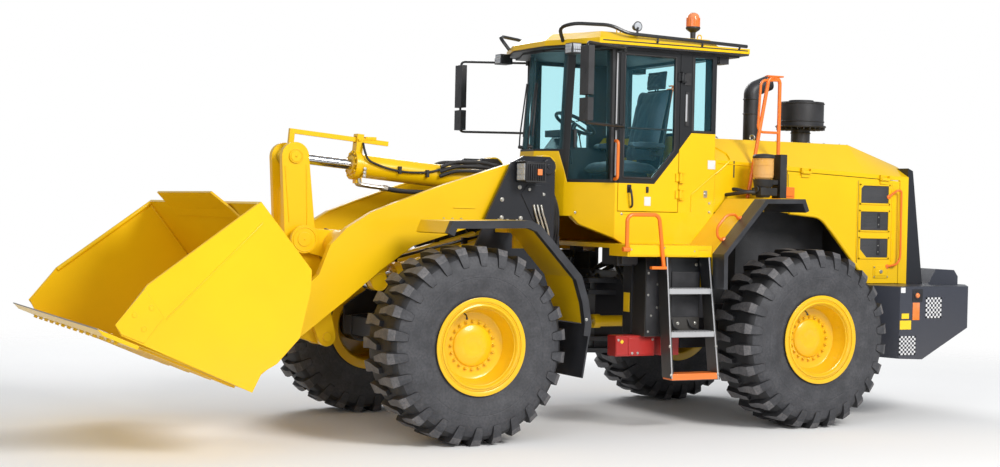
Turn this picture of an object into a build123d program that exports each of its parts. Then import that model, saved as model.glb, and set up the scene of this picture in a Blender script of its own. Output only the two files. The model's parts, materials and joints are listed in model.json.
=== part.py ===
from build123d import *
import math
import os

# An articulated wheel loader. Millimetres, +X forward, +Y left, +Z up, wheels on Z = 0.
# Every X is measured from the articulation axis. save() shifts the whole machine along X,
# so that its origin is on the ground in the middle of its length and width.

os.makedirs("parts", exist_ok=True)

# ---------------------------------------------------------------- driving sizes
wheelbase = 3360
track = 2244
axle_x = wheelbase / 2

face_gap = 0.3              # between faces that only touch
pin_gap = 0.3               # radial play of a pin in its bore
side_gap = 8                # beside an eye that turns between two cheeks

# ---------------------------------------------------------------- wheels
axle_z = 795                # loaded radius of a tyre
tyre_width = 595
rim_seat_radius = 332
rim_flange_radius = 392
rim_flange_y = (284, 297)   # inner and outer face of the flange, from the middle of the tyre
rim_wall = 32
disc_face_y = 120           # outer face of the wheel disc
disc_wall = 26
hub_radius = 168
hub_face_y = 143
lug_count = 26              # on each shoulder, half a pitch apart from side to side
lug_depth = 44
lug_reach_y = -30           # inner end of a lug, past the middle of the tread
facet_angle = math.pi / lug_count
tyre_radius = axle_z / math.cos(facet_angle / 2)    # at a lug's corners

axle_pad_height = 135       # from the axle's centre up to the frame it carries
chassis_on_axle_z = axle_z + axle_pad_height

# ---------------------------------------------------------------- linkage, as (x, z)
boom_pivot = (660, 2260)
bucket_pivot = (3175, 800)
crank_pivot = (2745, 1602)
crank_top = (2800, 2284)
crank_low = (2490, 786)
link_front = (2840, 900)
tilt_base = (850, 2114)
lift_base = (820, 1620)
lift_eye = (2150, 1260)

arm_y = 485                 # middle plane of each boom arm
arm_wall = 70
lift_y = 285                # middle plane of each lift cylinder
tower_outer_y = 560         # inner face of the tower's outer plates
tower_inner_y = 395         # inner face of the tower's inner plates
tower_wall = 30
pivot_pin_radius = 45
bucket_pin_radius = 40
crank_pin_radius = 45
cylinder_pin_radius = 38
crank_cap_radius = 115
pin_cap_radius = 95
pin_cap_wall = 40

# ---------------------------------------------------------------- cylinders
tilt_barrel_radius = 100
tilt_barrel_length = 1395
tilt_rod_radius = 45
tilt_rod_inside = 400
lift_barrel_radius = 88
lift_barrel_length = 1180
lift_rod_radius = 45
lift_rod_inside = 870
steer_base = (-760, 280)    # pin on the rear frame, as (x, y)
steer_eye = (430, 280)      # pin on the front frame
steer_z = 900
steer_eye_half = 46
steer_cheek = 26
steer_barrel_radius = 50
steer_barrel_length = 760
steer_rod_radius = 25
steer_rod_inside = 360

steer_cheeks = [(steer_z + side_gap + steer_eye_half, steer_z + side_gap + steer_eye_half + steer_cheek),
                (steer_z - side_gap - steer_eye_half - steer_cheek, steer_z - side_gap - steer_eye_half)]

# ---------------------------------------------------------------- bucket
bucket_half_width = 1490
bucket_sheet = 25
edge_half_width = 1500
bucket_tip_x = 4736
bucket_tip_z = 988

# ---------------------------------------------------------------- rear end
counterweight_end_x = -3840
counterweight_top_z = 1255
hitch_bore_radius = 26
tie_down_radius = 30

shift_x = -(bucket_tip_x + counterweight_end_x) / 2


# ---------------------------------------------------------------- helpers
def save(name, *shapes):
    """Write one node, moved from the articulation axis to the machine's origin."""
    body = shapes[0] if len(shapes) == 1 else Compound(children=list(shapes))
    export_step(Pos(shift_x, 0, 0) * body, f"parts/{name}.step")


def plate(points, y_low, y_high):
    """Outline in X and Z, as thick as the distance between two Y planes."""
    outline = Polyline(*[(x, y_low, z) for x, z in points], close=True)
    return extrude(make_face(outline), amount=y_high - y_low, dir=(0, 1, 0))


def slab(points, z_low, z_high):
    """Outline in X and Y, between two heights."""
    outline = Polyline(*[(x, y, z_low) for x, y in points], close=True)
    return extrude(make_face(outline), amount=z_high - z_low, dir=(0, 0, 1))


def block(x_span, y_span, z_span):
    spans = (x_span, y_span, z_span)
    sizes = [max(span) - min(span) for span in spans]
    middle = [(span[0] + span[1]) / 2 for span in spans]
    return Pos(*middle) * Box(*sizes)


def bar_y(centre, radius, y_low, y_high):
    """Round bar along Y with its centre at (x, z)."""
    place = Pos(centre[0], (y_low + y_high) / 2, centre[1]) * Rot(90, 0, 0)
    return place * Cylinder(radius, y_high - y_low)


def bar_z(centre, radius, z_low, z_high):
    """Round bar along Z with its centre at (x, y)."""
    return Pos(centre[0], centre[1], (z_low + z_high) / 2) * Cylinder(radius, z_high - z_low)


def strap(start, start_radius, end, end_radius, y_low, y_high):
    """Plate with two round ends, joined by the lines that touch both."""
    run = math.dist(start, end)
    along = math.atan2(end[1] - start[1], end[0] - start[0])
    lean = math.acos((start_radius - end_radius) / run)
    corners = []
    for centre, radius, side in (
        (start, start_radius, 1),
        (end, end_radius, 1),
        (end, end_radius, -1),
        (start, start_radius, -1),
    ):
        angle = along + side * lean
        corners.append((centre[0] + radius * math.cos(angle), centre[1] + radius * math.sin(angle)))
    rounds = bar_y(start, start_radius, y_low, y_high) + bar_y(end, end_radius, y_low, y_high)
    return rounds + plate(corners, y_low, y_high)


def both_sides(shape):
    return [shape, mirror(shape, about=Plane.XZ)]


def aim(start, end, pin_axis):
    """Place whose X runs from start to end and whose Y is the pin's axis."""
    x_dir = (Vector(*end) - Vector(*start)).normalized()
    z_dir = x_dir.cross(Vector(*pin_axis))
    return Plane(origin=start, x_dir=x_dir, z_dir=z_dir).location


def bar_x(radius, x_low, x_high):
    return Pos((x_low + x_high) / 2, 0, 0) * Rot(0, 90, 0) * Cylinder(radius, x_high - x_low)


def tube(points, radius, bend):
    """Round bar bent along a line of points."""
    path = FilletPolyline(*points, radius=bend)
    section = Plane(origin=path @ 0, z_dir=path % 0) * Circle(radius)
    return sweep(section, path=path)


def eye(radius, half_width, bore):
    """Round eye about Y at the local origin; bore 0 leaves it solid."""
    disc = bar_y((0, 0), radius, -half_width, half_width)
    if bore:
        disc -= bar_y((0, 0), bore, -half_width - 1, half_width + 1)
    return disc


def cylinder_barrel(radius, length, rod_radius, depth, eye_radius, eye_half, bore):
    """Barrel with its base eye at the local origin and its gland at +X."""
    gland_length = 70
    tube_start = eye_radius * 1.25
    tube_part = bar_x(radius, tube_start, length - gland_length)
    gland = bar_x(radius + 12, length - gland_length, length)
    whole = tube_part + gland + bar_y((0, 0), eye_radius, -eye_half, eye_half)
    whole += block((0, tube_start + 10), (-eye_half, eye_half), (-eye_radius * 0.6, eye_radius * 0.6))
    whole -= bar_y((0, 0), bore, -eye_half - 1, eye_half + 1)
    return whole - bar_x(rod_radius + pin_gap, length - depth, length + 1)


def cylinder_rod(rod_radius, reach, inside_end, eye_radius, eye_half):
    """Rod along +X up to a solid eye at reach; it starts at inside_end."""
    rod = bar_x(rod_radius, inside_end, reach - eye_radius * 0.5)
    return rod + Pos(reach, 0, 0) * eye(eye_radius, eye_half, 0)


# ---------------------------------------------------------------- wheels and axles
def make_tyre():
    """Ring of wedges, each with a lug on one shoulder and a groove on the other."""
    floor_radius = tyre_radius - lug_depth
    bead_radius = (rim_seat_radius + face_gap) / math.cos(facet_angle / 2)
    # radius and half width, from the bead out to the tread
    wall = [(bead_radius, 250), (560, tyre_width / 2)]
    lug_side = wall + [(690, tyre_width / 2 - 4), (tyre_radius, 238), (tyre_radius, lug_reach_y)]
    groove_side = wall + [(floor_radius, 222), (floor_radius, -lug_reach_y)]
    ring = lug_side + [(radius, -width) for radius, width in reversed(groove_side)]
    sections = []
    for angle in (-facet_angle / 2, facet_angle / 2):
        corners = [(radius * math.sin(angle), width, radius * math.cos(angle)) for radius, width in ring]
        sections.append(make_face(Polyline(*corners, close=True)))
    wedge = loft(sections, ruled=True)
    other_wedge = mirror(wedge, about=Plane.XZ)
    wedges = []
    for index in range(2 * lug_count):
        turn = Rot(0, 180 + math.degrees(index * facet_angle), 0)
        wedges.append(turn * (wedge if index % 2 == 0 else other_wedge))
    return wedges[0].fuse(*wedges[1:])


def make_rim():
    inner = rim_seat_radius - rim_wall
    edge_y = rim_flange_y[1]
    well_y = 205                # where the rim starts to slope inward to the disc
    outline = [(inner, -edge_y), (rim_flange_radius, -edge_y), (rim_flange_radius, -rim_flange_y[0]),
               (rim_seat_radius, -rim_flange_y[0]), (rim_seat_radius, rim_flange_y[0]),
               (rim_flange_radius, rim_flange_y[0]), (rim_flange_radius, edge_y), (inner, edge_y),
               (inner, well_y), (inner - 30, disc_face_y), (hub_radius, disc_face_y),
               (hub_radius, hub_face_y), (0, hub_face_y), (0, disc_face_y - disc_wall),
               (inner, disc_face_y - disc_wall)]
    face = make_face(Polyline(*[(radius, y, 0) for radius, y in outline], close=True))
    return revolve(face, Axis.Y)


def make_axle(pad_y, shaft_end):
    hub_end = track / 2 + disc_face_y - disc_wall - face_gap
    tube_radius = 120
    housing = bar_y((0, 0), tube_radius, -hub_end + 150, hub_end - 150)
    housing += bar_y((0, 0), 235, -130, 130)
    housing += bar_x(90, -230, 230)
    housing += bar_x(45, min(shaft_end, 0), max(shaft_end, 0))
    for side in (-1, 1):
        housing += Pos(0, side * (hub_end - 100), 0) * Rot(90, 0, 0) * Cylinder(155, 200)
        housing += block((-130, 130), (side * pad_y[0], side * pad_y[1]), (-60, axle_pad_height))
    return housing


tyre = make_tyre()
rim = make_rim()
for end_name, wheel_x in (("front", axle_x), ("rear", -axle_x)):
    for side_name, side in (("left", 1), ("right", -1)):
        turned = Rot(0, 0, 0) if side > 0 else Rot(0, 0, 180)
        place = Pos(wheel_x, side * track / 2, axle_z) * turned
        save(f"tyre_{end_name}_{side_name}", place * tyre)
        save(f"rim_{end_name}_{side_name}", place * rim)

front_axle = Pos(axle_x, 0, axle_z) * make_axle((tower_inner_y, tower_outer_y + tower_wall), -axle_x + 150)
save("front_axle", front_axle)
rear_axle = Pos(-axle_x, 0, axle_z) * make_axle((300, 400), axle_x - 970)
save("rear_axle", rear_axle)

# ---------------------------------------------------------------- front frame
tower_rear_x = 590
floor_plate_z = (640, 680)
tower_top_z = 2345
hinge_pin_radius = 60
front_lug = [(1180, 1230), (650, 700)]      # heights of the front frame's hinge plates

outer_plate = [(300, 640), (1480, 640), (1480, chassis_on_axle_z), (1880, chassis_on_axle_z),
               (1880, 700), (2050, 760), (2050, 1000), (1750, 1200), (1400, 1420), (1230, 1850),
               (1010, 2290), (900, tower_top_z), (640, tower_top_z), (tower_rear_x, 2300),
               (tower_rear_x, 1240), (300, 1240)]
inner_plate = [(300, 640), (1480, 640), (1480, chassis_on_axle_z), (1880, chassis_on_axle_z),
               (1880, 700), (2050, 760), (2050, 930), (1850, 945), (1600, 1100), (1250, 1180), (1000, 1900),
               (800, tower_top_z), (640, tower_top_z), (tower_rear_x, 2300),
               (tower_rear_x, 1240), (300, 1240)]
tower_outer_face = tower_outer_y + tower_wall
tie_down = (420, 492)       # through the floor plate, as (x, y)
chassis = plate(outer_plate, tower_outer_y, tower_outer_face)
chassis += plate(inner_plate, tower_inner_y, tower_inner_y + tower_wall)
chassis += bar_y(boom_pivot, pivot_pin_radius, tower_inner_y, tower_outer_face + 12)
chassis += bar_y(lift_base, 75, tower_inner_y - 42, tower_inner_y)
chassis += bar_y(lift_base, cylinder_pin_radius, 190, tower_inner_y)
chassis += strap((tower_rear_x + 140, lift_base[1]), 120, lift_base, 75, 190, 225)
chassis += strap((tower_rear_x + 140, tilt_base[1]), 120, tilt_base, 85, 93, 133)
front_half = chassis
front_whole = front_half + mirror(front_half, about=Plane.XZ)
front_whole += bar_y(tilt_base, cylinder_pin_radius, -133, 133)
front_whole += block((tower_rear_x + 10, tower_rear_x + 40), (-tower_inner_y, tower_inner_y), (1240, 2280))
for side in (-1, 1):
    for z_low, z_high in steer_cheeks:
        front_whole += block((370, 500), (side * (steer_eye[1] - 30), side * tower_inner_y), (z_low, z_high))
for z_low, z_high, x_high in ((floor_plate_z[0], floor_plate_z[1], 1400), (1180, 1240, 1240)):
    front_whole += block((300, x_high), (-tower_outer_face, tower_outer_face), (z_low, z_high))
for side in (-1, 1):
    front_whole -= bar_z((tie_down[0], side * tie_down[1]), tie_down_radius, floor_plate_z[0] - 1,
                         floor_plate_z[1] + 1)
front_whole += block((2000, 2040), (-tower_outer_face, tower_outer_face), (760, 920))
for z_low, z_high in front_lug:
    lug = slab([(300, -330), (300, 330), (60, 110), (-60, 110), (-60, -110), (60, -110)], z_low, z_high)
    lug += bar_z((0, 0), 120, z_low, z_high)
    lug -= bar_z((0, 0), hinge_pin_radius + pin_gap, z_low - 1, z_high + 1)
    front_whole += lug
save("front_chassis", front_whole)

# ---------------------------------------------------------------- front fenders and lamps
fender_inner_y = tower_outer_face
fender_outer_y = 1400
fender_wall = 22
fender_path = [(1990, 1690), (1950, 1785), (1260, 1800), (1165, 1765), (770, 1355), (700, 1150),
               (670, 965)]
flap_path = [(672, 950), (740, 520)]


def ribbon(path, wall, y_low, y_high):
    """Bent sheet: the path in X and Z is its outer side, the wall lies to the left of travel."""
    inner = []
    for index, (x, z) in enumerate(path):
        normals = []
        for first, second in ((index - 1, index), (index, index + 1)):
            if first >= 0 and second < len(path):
                dx = path[second][0] - path[first][0]
                dz = path[second][1] - path[first][1]
                run = math.hypot(dx, dz)
                normals.append((-dz / run, dx / run))
        nx = sum(normal[0] for normal in normals)
        nz = sum(normal[1] for normal in normals)
        scale = wall * len(normals) / (nx * nx + nz * nz)
        inner.append((x + nx * scale, z + nz * scale))
    return plate(path + inner[::-1], y_low, y_high)


band_y = 1340               # where the black outer band starts
panel = ribbon(fender_path, fender_wall, 800, band_y)
panel += block((1010, 1160), (fender_inner_y, 820), (1690, 1740))
panel += block((1010, 1100), (790, 820), (1560, 1740))
save("front_fenders", *both_sides(panel))
band = ribbon(fender_path + [(682, 860)], 62, band_y, fender_outer_y)
band += ribbon(flap_path, 14, 880, fender_outer_y)
save("fender_bands", *both_sides(band))

lamp_box = block((770, 960), (600, 760), (2120, 2290))
lamp_box += block((800, 900), (tower_outer_face, 600), (2170, 2240))
save("headlights", *both_sides(lamp_box))

# ---------------------------------------------------------------- boom
arm_outline = [(680, 2358), (1050, 2260), (1640, 2070), (2000, 1940), (2260, 1840), (2480, 1705),
               (2620, 1566), (2715, 1325), (3232, 857), (3118, 743), (2850, 830), (2470, 1120),
               (2165, 1366), (1880, 1565), (1280, 1750), (1070, 1895), (600, 2180)]
cross_tube = (crank_pivot[0] - 310, crank_pivot[1] - 50)
boom_boss_radius = 100
bucket_boss_radius = 80
arm_inner_y = arm_y - arm_wall / 2
arm_outer_y = arm_y + arm_wall / 2

arm = plate(arm_outline, arm_inner_y, arm_outer_y)
arm += bar_y(boom_pivot, boom_boss_radius, tower_inner_y + tower_wall + 3, tower_outer_y - 3)
arm += bar_y(bucket_pivot, bucket_boss_radius, arm_inner_y, arm_outer_y)
arm += strap(lift_eye, 72, (2230, 1440), 90, lift_y + 50 + side_gap, arm_inner_y)
arm -= bar_y(boom_pivot, pivot_pin_radius + pin_gap, 0, 1000)
arm -= bar_y(bucket_pivot, bucket_pin_radius + pin_gap, 0, 1000)
bracket = strap(cross_tube, 125, crank_pivot, 95, 170, 212)
bracket -= bar_y(crank_pivot, crank_pin_radius + pin_gap, 0, 1000)
half_boom = arm + bracket
boom = half_boom + mirror(half_boom, about=Plane.XZ) + bar_y(cross_tube, 130, -arm_inner_y, arm_inner_y)
save("boom", boom)

# ---------------------------------------------------------------- bellcrank and link
crank_inner_y = 95
crank_outer_y = 155
link_half = 85
crank_side = strap(crank_pivot, 135, crank_top, 118, crank_inner_y, crank_outer_y)
crank_side += strap(crank_pivot, 135, crank_low, 78, crank_inner_y, crank_outer_y)
crank_side += bar_y(crank_top, 58, crank_outer_y, crank_outer_y + 12)


def between(start, end, share):
    return (start[0] + (end[0] - start[0]) * share, start[1] + (end[1] - start[1]) * share)


crank = crank_side + mirror(crank_side, about=Plane.XZ)
crank += strap(crank_pivot, 115, between(crank_pivot, crank_top, 0.55), 85, -crank_inner_y, crank_inner_y)
crank += strap(crank_pivot, 115, between(crank_pivot, crank_low, 0.62), 62, -crank_inner_y, crank_inner_y)
crank += bar_y(crank_low, cylinder_pin_radius, -crank_outer_y - 12, crank_outer_y + 12)
crank -= bar_y(crank_pivot, crank_pin_radius + pin_gap, -300, 300)
save("bellcrank", crank)
crank_cap_y = 217           # inner face of the round caps that keep the pin in its brackets
crank_pin = bar_y(crank_pivot, crank_pin_radius, -crank_cap_y, crank_cap_y)
crank_cap = bar_y(crank_pivot, crank_cap_radius, crank_cap_y, crank_cap_y + pin_cap_wall)
save("bellcrank_pin", crank_pin + crank_cap + mirror(crank_cap, about=Plane.XZ))

link = strap(crank_low, 74, link_front, 74, -link_half, link_half)
link -= bar_y(crank_low, cylinder_pin_radius + pin_gap, -300, 300)
save("tilt_link", link)

# ---------------------------------------------------------------- bucket
bucket_heel = (3600, 512)
sheet_outer = [(bucket_tip_x, bucket_tip_z), bucket_heel, (3520, 628), (3420, 705), (3252, 900),
               (3168, 1240), (3168, 1402), (3550, 1900)]
sheet_inner = [(bucket_tip_x, bucket_tip_z), (3612, 541), (3536, 650), (3440, 722), (3275, 910),
               (3193, 1243), (3193, 1394), (3570, 1884)]
cheek_outline = [(3550, 1900), (4380, 1290), (4597, 1007), (4560, 935), (3590, 504), (3519, 646),
                 (3404, 710), (3229, 898), (3150, 1240), (3146, 1402)]
ear_inner_y = arm_inner_y - side_gap
ear_outer_y = arm_outer_y + side_gap
ear_wall = 27
bucket_ear = strap(bucket_pivot, 80, (3330, 930), 130, ear_inner_y - ear_wall, ear_inner_y)
bucket_ear += strap(bucket_pivot, 80, (3330, 930), 130, ear_outer_y, ear_outer_y + ear_wall)
bucket_ear -= bar_y(bucket_pivot, bucket_pin_radius + pin_gap, 0, 1000)
link_ear = strap((3240, 1010), 120, link_front, 70, link_half + side_gap, link_half + side_gap + 35)
link_ear += bar_y(link_front, 50, link_half + side_gap + 35, link_half + side_gap + 50)

hollow = plate(sheet_inner + [(4700, 1900)], -bucket_half_width + bucket_sheet,
               bucket_half_width - bucket_sheet)
ears = bucket_ear + link_ear
cheek = plate(cheek_outline, bucket_half_width - bucket_sheet, bucket_half_width)
sheet = plate(sheet_outer, -bucket_half_width + bucket_sheet, bucket_half_width - bucket_sheet)
bucket = sheet + ears + mirror(ears, about=Plane.XZ)
bucket -= hollow
bucket += cheek + mirror(cheek, about=Plane.XZ)
edge_run = math.atan2(bucket_tip_z - bucket_heel[1], bucket_tip_x - bucket_heel[0])
edge_length = 330
edge_wall = 30
edge_back = (bucket_tip_x - edge_length * math.cos(edge_run), bucket_tip_z - edge_length * math.sin(edge_run))
edge_down = (edge_wall * math.sin(edge_run), -edge_wall * math.cos(edge_run))
edge_outline = [(bucket_tip_x, bucket_tip_z), edge_back,
                (edge_back[0] + edge_down[0], edge_back[1] + edge_down[1]),
                (bucket_tip_x - 60 + edge_down[0], bucket_tip_z - 25 + edge_down[1])]
bucket += plate(edge_outline, -edge_half_width, edge_half_width)
guard_plan = slab([(3400, 890), (3480, 870), (3720, 735), (3720, -735), (3480, -870), (3400, -890)], 1700, 2100)
guard = plate([(3492, 1783), (3505, 1773), (3560, 1833), (3705, 1962), (3694, 1974), (3548, 1845)], -900, 900)
bucket += guard & guard_plan
save("bucket", bucket)
pin_cap_inner_y = ear_inner_y - ear_wall - 5
pin_cap_outer_y = ear_outer_y + ear_wall + 5
bucket_pin = bar_y(bucket_pivot, bucket_pin_radius, pin_cap_inner_y, pin_cap_outer_y)
bucket_pin += bar_y(bucket_pivot, pin_cap_radius, pin_cap_inner_y - pin_cap_wall, pin_cap_inner_y)
bucket_pin += bar_y(bucket_pivot, pin_cap_radius, pin_cap_outer_y, pin_cap_outer_y + pin_cap_wall)
save("bucket_pins", *both_sides(bucket_pin))

# ---------------------------------------------------------------- hydraulic cylinders
tilt_place = aim((tilt_base[0], 0, tilt_base[1]), (crank_top[0], 0, crank_top[1]), (0, 1, 0))
tilt_reach = math.dist(tilt_base, crank_top)
bar_height = 215            # guide bar above the tilt rod's axis
bar_half = 20
tilt_barrel = cylinder_barrel(tilt_barrel_radius, tilt_barrel_length, tilt_rod_radius, 780, 85,
                              link_half, cylinder_pin_radius + pin_gap)
guide_post = block((tilt_barrel_length - 70, tilt_barrel_length - 10), (-45, 45),
                   (tilt_barrel_radius - 10, bar_height + 50))
guide_post -= block((tilt_barrel_length - 80, tilt_barrel_length), (-bar_half - 6, bar_half + 6),
                    (bar_height - bar_half - 6, bar_height + bar_half + 6))
save("tilt_barrel", tilt_place * (tilt_barrel + guide_post))
tilt_rod = cylinder_rod(tilt_rod_radius, tilt_reach, tilt_barrel_length - tilt_rod_inside, 80, link_half)
save("tilt_rod", tilt_place * tilt_rod)
guide_bar = block((1085, tilt_reach + 22), (-bar_half, bar_half), (bar_height - bar_half, bar_height + bar_half))
guide_bar += block((tilt_reach - 22, tilt_reach + 22), (-bar_half, bar_half), (86, bar_height))
guide_bar += block((tilt_reach - 30, tilt_reach + 30), (-30, 30), (70, 90)) - bar_y((tilt_reach, 0), 80.3, -40, 40)
save("tilt_guide_bar", tilt_place * guide_bar)

lift_reach = math.dist(lift_base, lift_eye)
lift_barrels = []
lift_rods = []
for side in (-1, 1):
    place = aim((lift_base[0], side * lift_y, lift_base[1]), (lift_eye[0], side * lift_y, lift_eye[1]), (0, 1, 0))
    lift_barrels.append(place * cylinder_barrel(lift_barrel_radius, lift_barrel_length, lift_rod_radius,
                                                1000, 75, 50, cylinder_pin_radius + pin_gap))
    lift_rods.append(place * cylinder_rod(lift_rod_radius, lift_reach, lift_barrel_length - lift_rod_inside,
                                          80, 50))
save("lift_barrels", *lift_barrels)
save("lift_rods", *lift_rods)

steer_reach = math.dist(steer_base, steer_eye)
for side_name, side in (("left", 1), ("right", -1)):
    place = aim((steer_base[0], side * steer_base[1], steer_z), (steer_eye[0], side * steer_eye[1], steer_z), (0, 0, 1))
    barrel = cylinder_barrel(steer_barrel_radius, steer_barrel_length, steer_rod_radius, 620, 48,
                             steer_eye_half, 25 + pin_gap)
    rod = cylinder_rod(steer_rod_radius, steer_reach, steer_barrel_length - steer_rod_inside, 48, steer_eye_half)
    save(f"steering_barrel_{side_name}", place * barrel)
    save(f"steering_rod_{side_name}", place * rod)

# ---------------------------------------------------------------- rear frame
rail_inner_y = 330
rail_outer_y = 370
cross_x = (-950, -900)
neck_half = 80
rear_lug = [(1130, 1172), (1238, 1280), (600, 642), (708, 750)]
counterweight_front_x = -2530

rail_outline = [(cross_x[1], 1050), (cross_x[1], 650), (-1450, 650), (-1450, chassis_on_axle_z),
                (-1910, chassis_on_axle_z), (-1910, 650), (counterweight_front_x, 650),
                (counterweight_front_x, 1050)]
post_x = (-950, -850)
outrigger_x = (-420, -320)
platform_low_z = 1570
platform_top_z = 1610

half_frame = plate(rail_outline, rail_inner_y, rail_outer_y)
half_frame += block(post_x, (620, 700), (950, platform_low_z))
half_frame += block(outrigger_x, (620, 700), (1343, platform_low_z))
half_frame += bar_z(steer_base, 25, steer_cheeks[1][0], steer_cheeks[0][1])
for z_low, z_high in steer_cheeks:
    half_frame += block((steer_base[0] - 60, steer_base[0] + 44), (neck_half - 10, steer_base[1] + 45),
                        (z_low, z_high))
rear_frame = half_frame + mirror(half_frame, about=Plane.XZ)
rear_frame += block((cross_x[0], -150), (-neck_half, neck_half), (600, 1280))
rear_frame += block(cross_x, (-rail_outer_y, rail_outer_y), (650, 1050))
rear_frame += block(post_x, (-700, 700), (950, 1050))
rear_frame += block((-2200, -2120), (-rail_inner_y, rail_inner_y), (700, 1040))
rear_frame += block(outrigger_x, (-700, 700), (1270, 1343))
for z_low, z_high in rear_lug:
    rear_frame += slab([(-300, -200), (-300, 200), (-60, 110), (60, 110), (60, -110), (-60, -110)],
                       z_low, z_high)
    rear_frame += bar_z((0, 0), 120, z_low, z_high)
rear_frame += bar_z((0, 0), hinge_pin_radius, 600, 1280)
save("rear_chassis", rear_frame)

engine = block((-2500, -1480), (-380, 380), (1050, 2050))
gearbox = block((-1440, -960), (-rail_inner_y, rail_inner_y), (880, 1250))
cooler = block((-3180, -2980), (-600, 600), (counterweight_top_z, 2180))
save("powertrain", engine, gearbox, cooler)

# ---------------------------------------------------------------- counterweight
end_x = counterweight_end_x
front_x = counterweight_front_x
corner_x = (front_x - 200, end_x + 280)     # where the side is widest
ballast = slab([(front_x, 900), (corner_x[0], 1240), (corner_x[1], 1240), (end_x, 900),
                (end_x, -900), (corner_x[1], -1240), (corner_x[0], -1240), (front_x, -900)],
               575, counterweight_top_z)
ballast &= plate([(front_x, counterweight_top_z), (front_x, 595), (front_x - 480, 575), (end_x, 1010),
                  (end_x, counterweight_top_z)], -1300, 1300)
ballast += plate([(end_x + 380, counterweight_top_z - 40), (end_x + 380, counterweight_top_z),
                  (end_x + 280, counterweight_top_z + 145), (end_x + 50, counterweight_top_z + 137),
                  (end_x, counterweight_top_z + 75), (end_x, counterweight_top_z - 40)], -800, 800)
hitch_x = counterweight_end_x + 75
hitch_lugs = [(1040, 1075), (1150, 1185)]
ballast -= block((counterweight_end_x - 1, hitch_x + 115), (-130, 130), (900, 1240))
for z_low, z_high in hitch_lugs:
    ballast += block((counterweight_end_x + 10, hitch_x + 116), (-75, 75), (z_low, z_high))
ballast -= bar_z((hitch_x, 0), hitch_bore_radius, 1000, 1200)
ballast -= bar_z((hitch_x, 0), hitch_bore_radius + 14, 1200, counterweight_top_z + 200)
save("counterweight", ballast)

# ---------------------------------------------------------------- hood
hood_side_y = 750
hood_wall = 30
door_gap = 6
hood_front_x = -960
grille_x = -3230
hood_top_half = 480
hood_top_z = 2580


def crease_z(x):
    """Height of the edge between the hood's side and its sloping shoulder."""
    return 2372 + (x + 988) * 0.0409


def hood_section(x, top_z, inset):
    side_y = hood_side_y - inset
    shoulder_y = hood_top_half - inset * 0.4
    points = [(side_y, 1200), (side_y, crease_z(x) - inset * 0.4), (shoulder_y, top_z - inset)]
    ring = points + [(-y, z) for y, z in reversed(points)]
    return make_face(Polyline(*[(x, y, z) for y, z in ring], close=True))


hood_stations = [(hood_front_x, hood_top_z), (-2695, hood_top_z), (-3310, 2390)]
hood_outer = loft([hood_section(x, top_z, 0) for x, top_z in hood_stations], ruled=True)
hood_inner = loft([hood_section(x, top_z, hood_wall) for x, top_z in hood_stations], ruled=True)
arch_line = [(-3120, 1260), (-2740, 1260), (-2620, 1405), (-2170, 1880), (-1780, 1910)]
hood_keep = plate([(hood_front_x, 2700), (hood_front_x, 1900), (-1650, 1920)] + arch_line[::-1][1:]
                  + [(grille_x, counterweight_top_z), (grille_x, 2372), (-3300, 2345), (-3300, 2700)], -800, 800)
front_wall = block((hood_front_x - hood_wall, hood_front_x), (-800, 800), (1900, 2700))
hood = (hood_outer - hood_inner) + (hood_outer & front_wall)
hood &= hood_keep

door_top_drop = 45
hinge_offset = 18
door_front_x = -1780
door_rear_x = -3120


def door_outline(gap):
    """Side door of the hood in X and Z, grown by a gap for the opening it sits in."""
    top_front = (door_front_x + gap, crease_z(door_front_x) - door_top_drop + gap)
    top_rear = (door_rear_x - gap, crease_z(door_rear_x) - door_top_drop + gap)
    drop = 0 if gap == 0 else 60
    bottom = [(x, z - drop) for x, z in arch_line]
    bottom[0] = (door_rear_x - gap, bottom[0][1])
    bottom[-1] = (door_front_x + gap, bottom[-1][1])
    return [top_front, top_rear] + bottom


def hinge(place, length, pin_radius):
    """Pin hinge about the local Z axis on a wall whose outer face is the local plane Y = 0.

    The first shape holds the pin and sits on the wall at -X, the second turns with the wall at +X.
    """
    offset = hinge_offset
    fixed = Pos(0, offset, 0) * Cylinder(pin_radius, length + 26)
    for end in (-1, 1):
        z_low, z_high = sorted((end * (length / 2 + 1), end * (length / 2 + 13)))
        fixed += block((-38, -1), (0, offset + 10), (z_low, z_high))
        fixed += block((-12, 10), (offset / 2, offset + 10), (z_low, z_high))
    moving = Pos(0, offset, 0) * Cylinder(offset - 2, length)
    moving += block((0, 45), (0, 12), (-length / 2, length / 2))
    moving -= Pos(0, offset, 0) * Cylinder(pin_radius + pin_gap, length + 2)
    return place * fixed, place * moving


vent_x = (-2987, -2646)
vents = [(2019, 2192), (1761, 1946), (1502, 1690)]
slat_count = 6
hood_door = plate(door_outline(0), hood_side_y - hood_wall, hood_side_y)
for z_low, z_high in vents:
    hood_door -= block(vent_x, (hood_side_y - 22, hood_side_y + 1), (z_low, z_high))
    pitch = (z_high - z_low) / slat_count
    for index in range(slat_count):
        slat_z = z_low + (index + 0.5) * pitch
        hood_door += block(vent_x, (hood_side_y - 22, hood_side_y - 3), (slat_z - 4, slat_z + 4))
hood_door += block((-2993, -2817), (hood_side_y, hood_side_y + 6), (1311, 1425))
opening = plate(door_outline(door_gap), hood_side_y - hood_wall - 40, hood_side_y + 40)
hood -= opening
hood -= mirror(opening, about=Plane.XZ)
door_hinges = (-1980, -2920)
for x in door_hinges:
    place = Plane(origin=(x, hood_side_y, crease_z(x) - door_top_drop + door_gap / 2),
                  x_dir=Vector(0.0409, 0, -1), z_dir=Vector(1, 0, 0.0409)).location
    held, turning = hinge(place, 90, 7)
    hood += held
    hood += mirror(held, about=Plane.XZ)
    hood_door += turning
save("hood", hood)
save("engine_door_left", hood_door)
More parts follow.
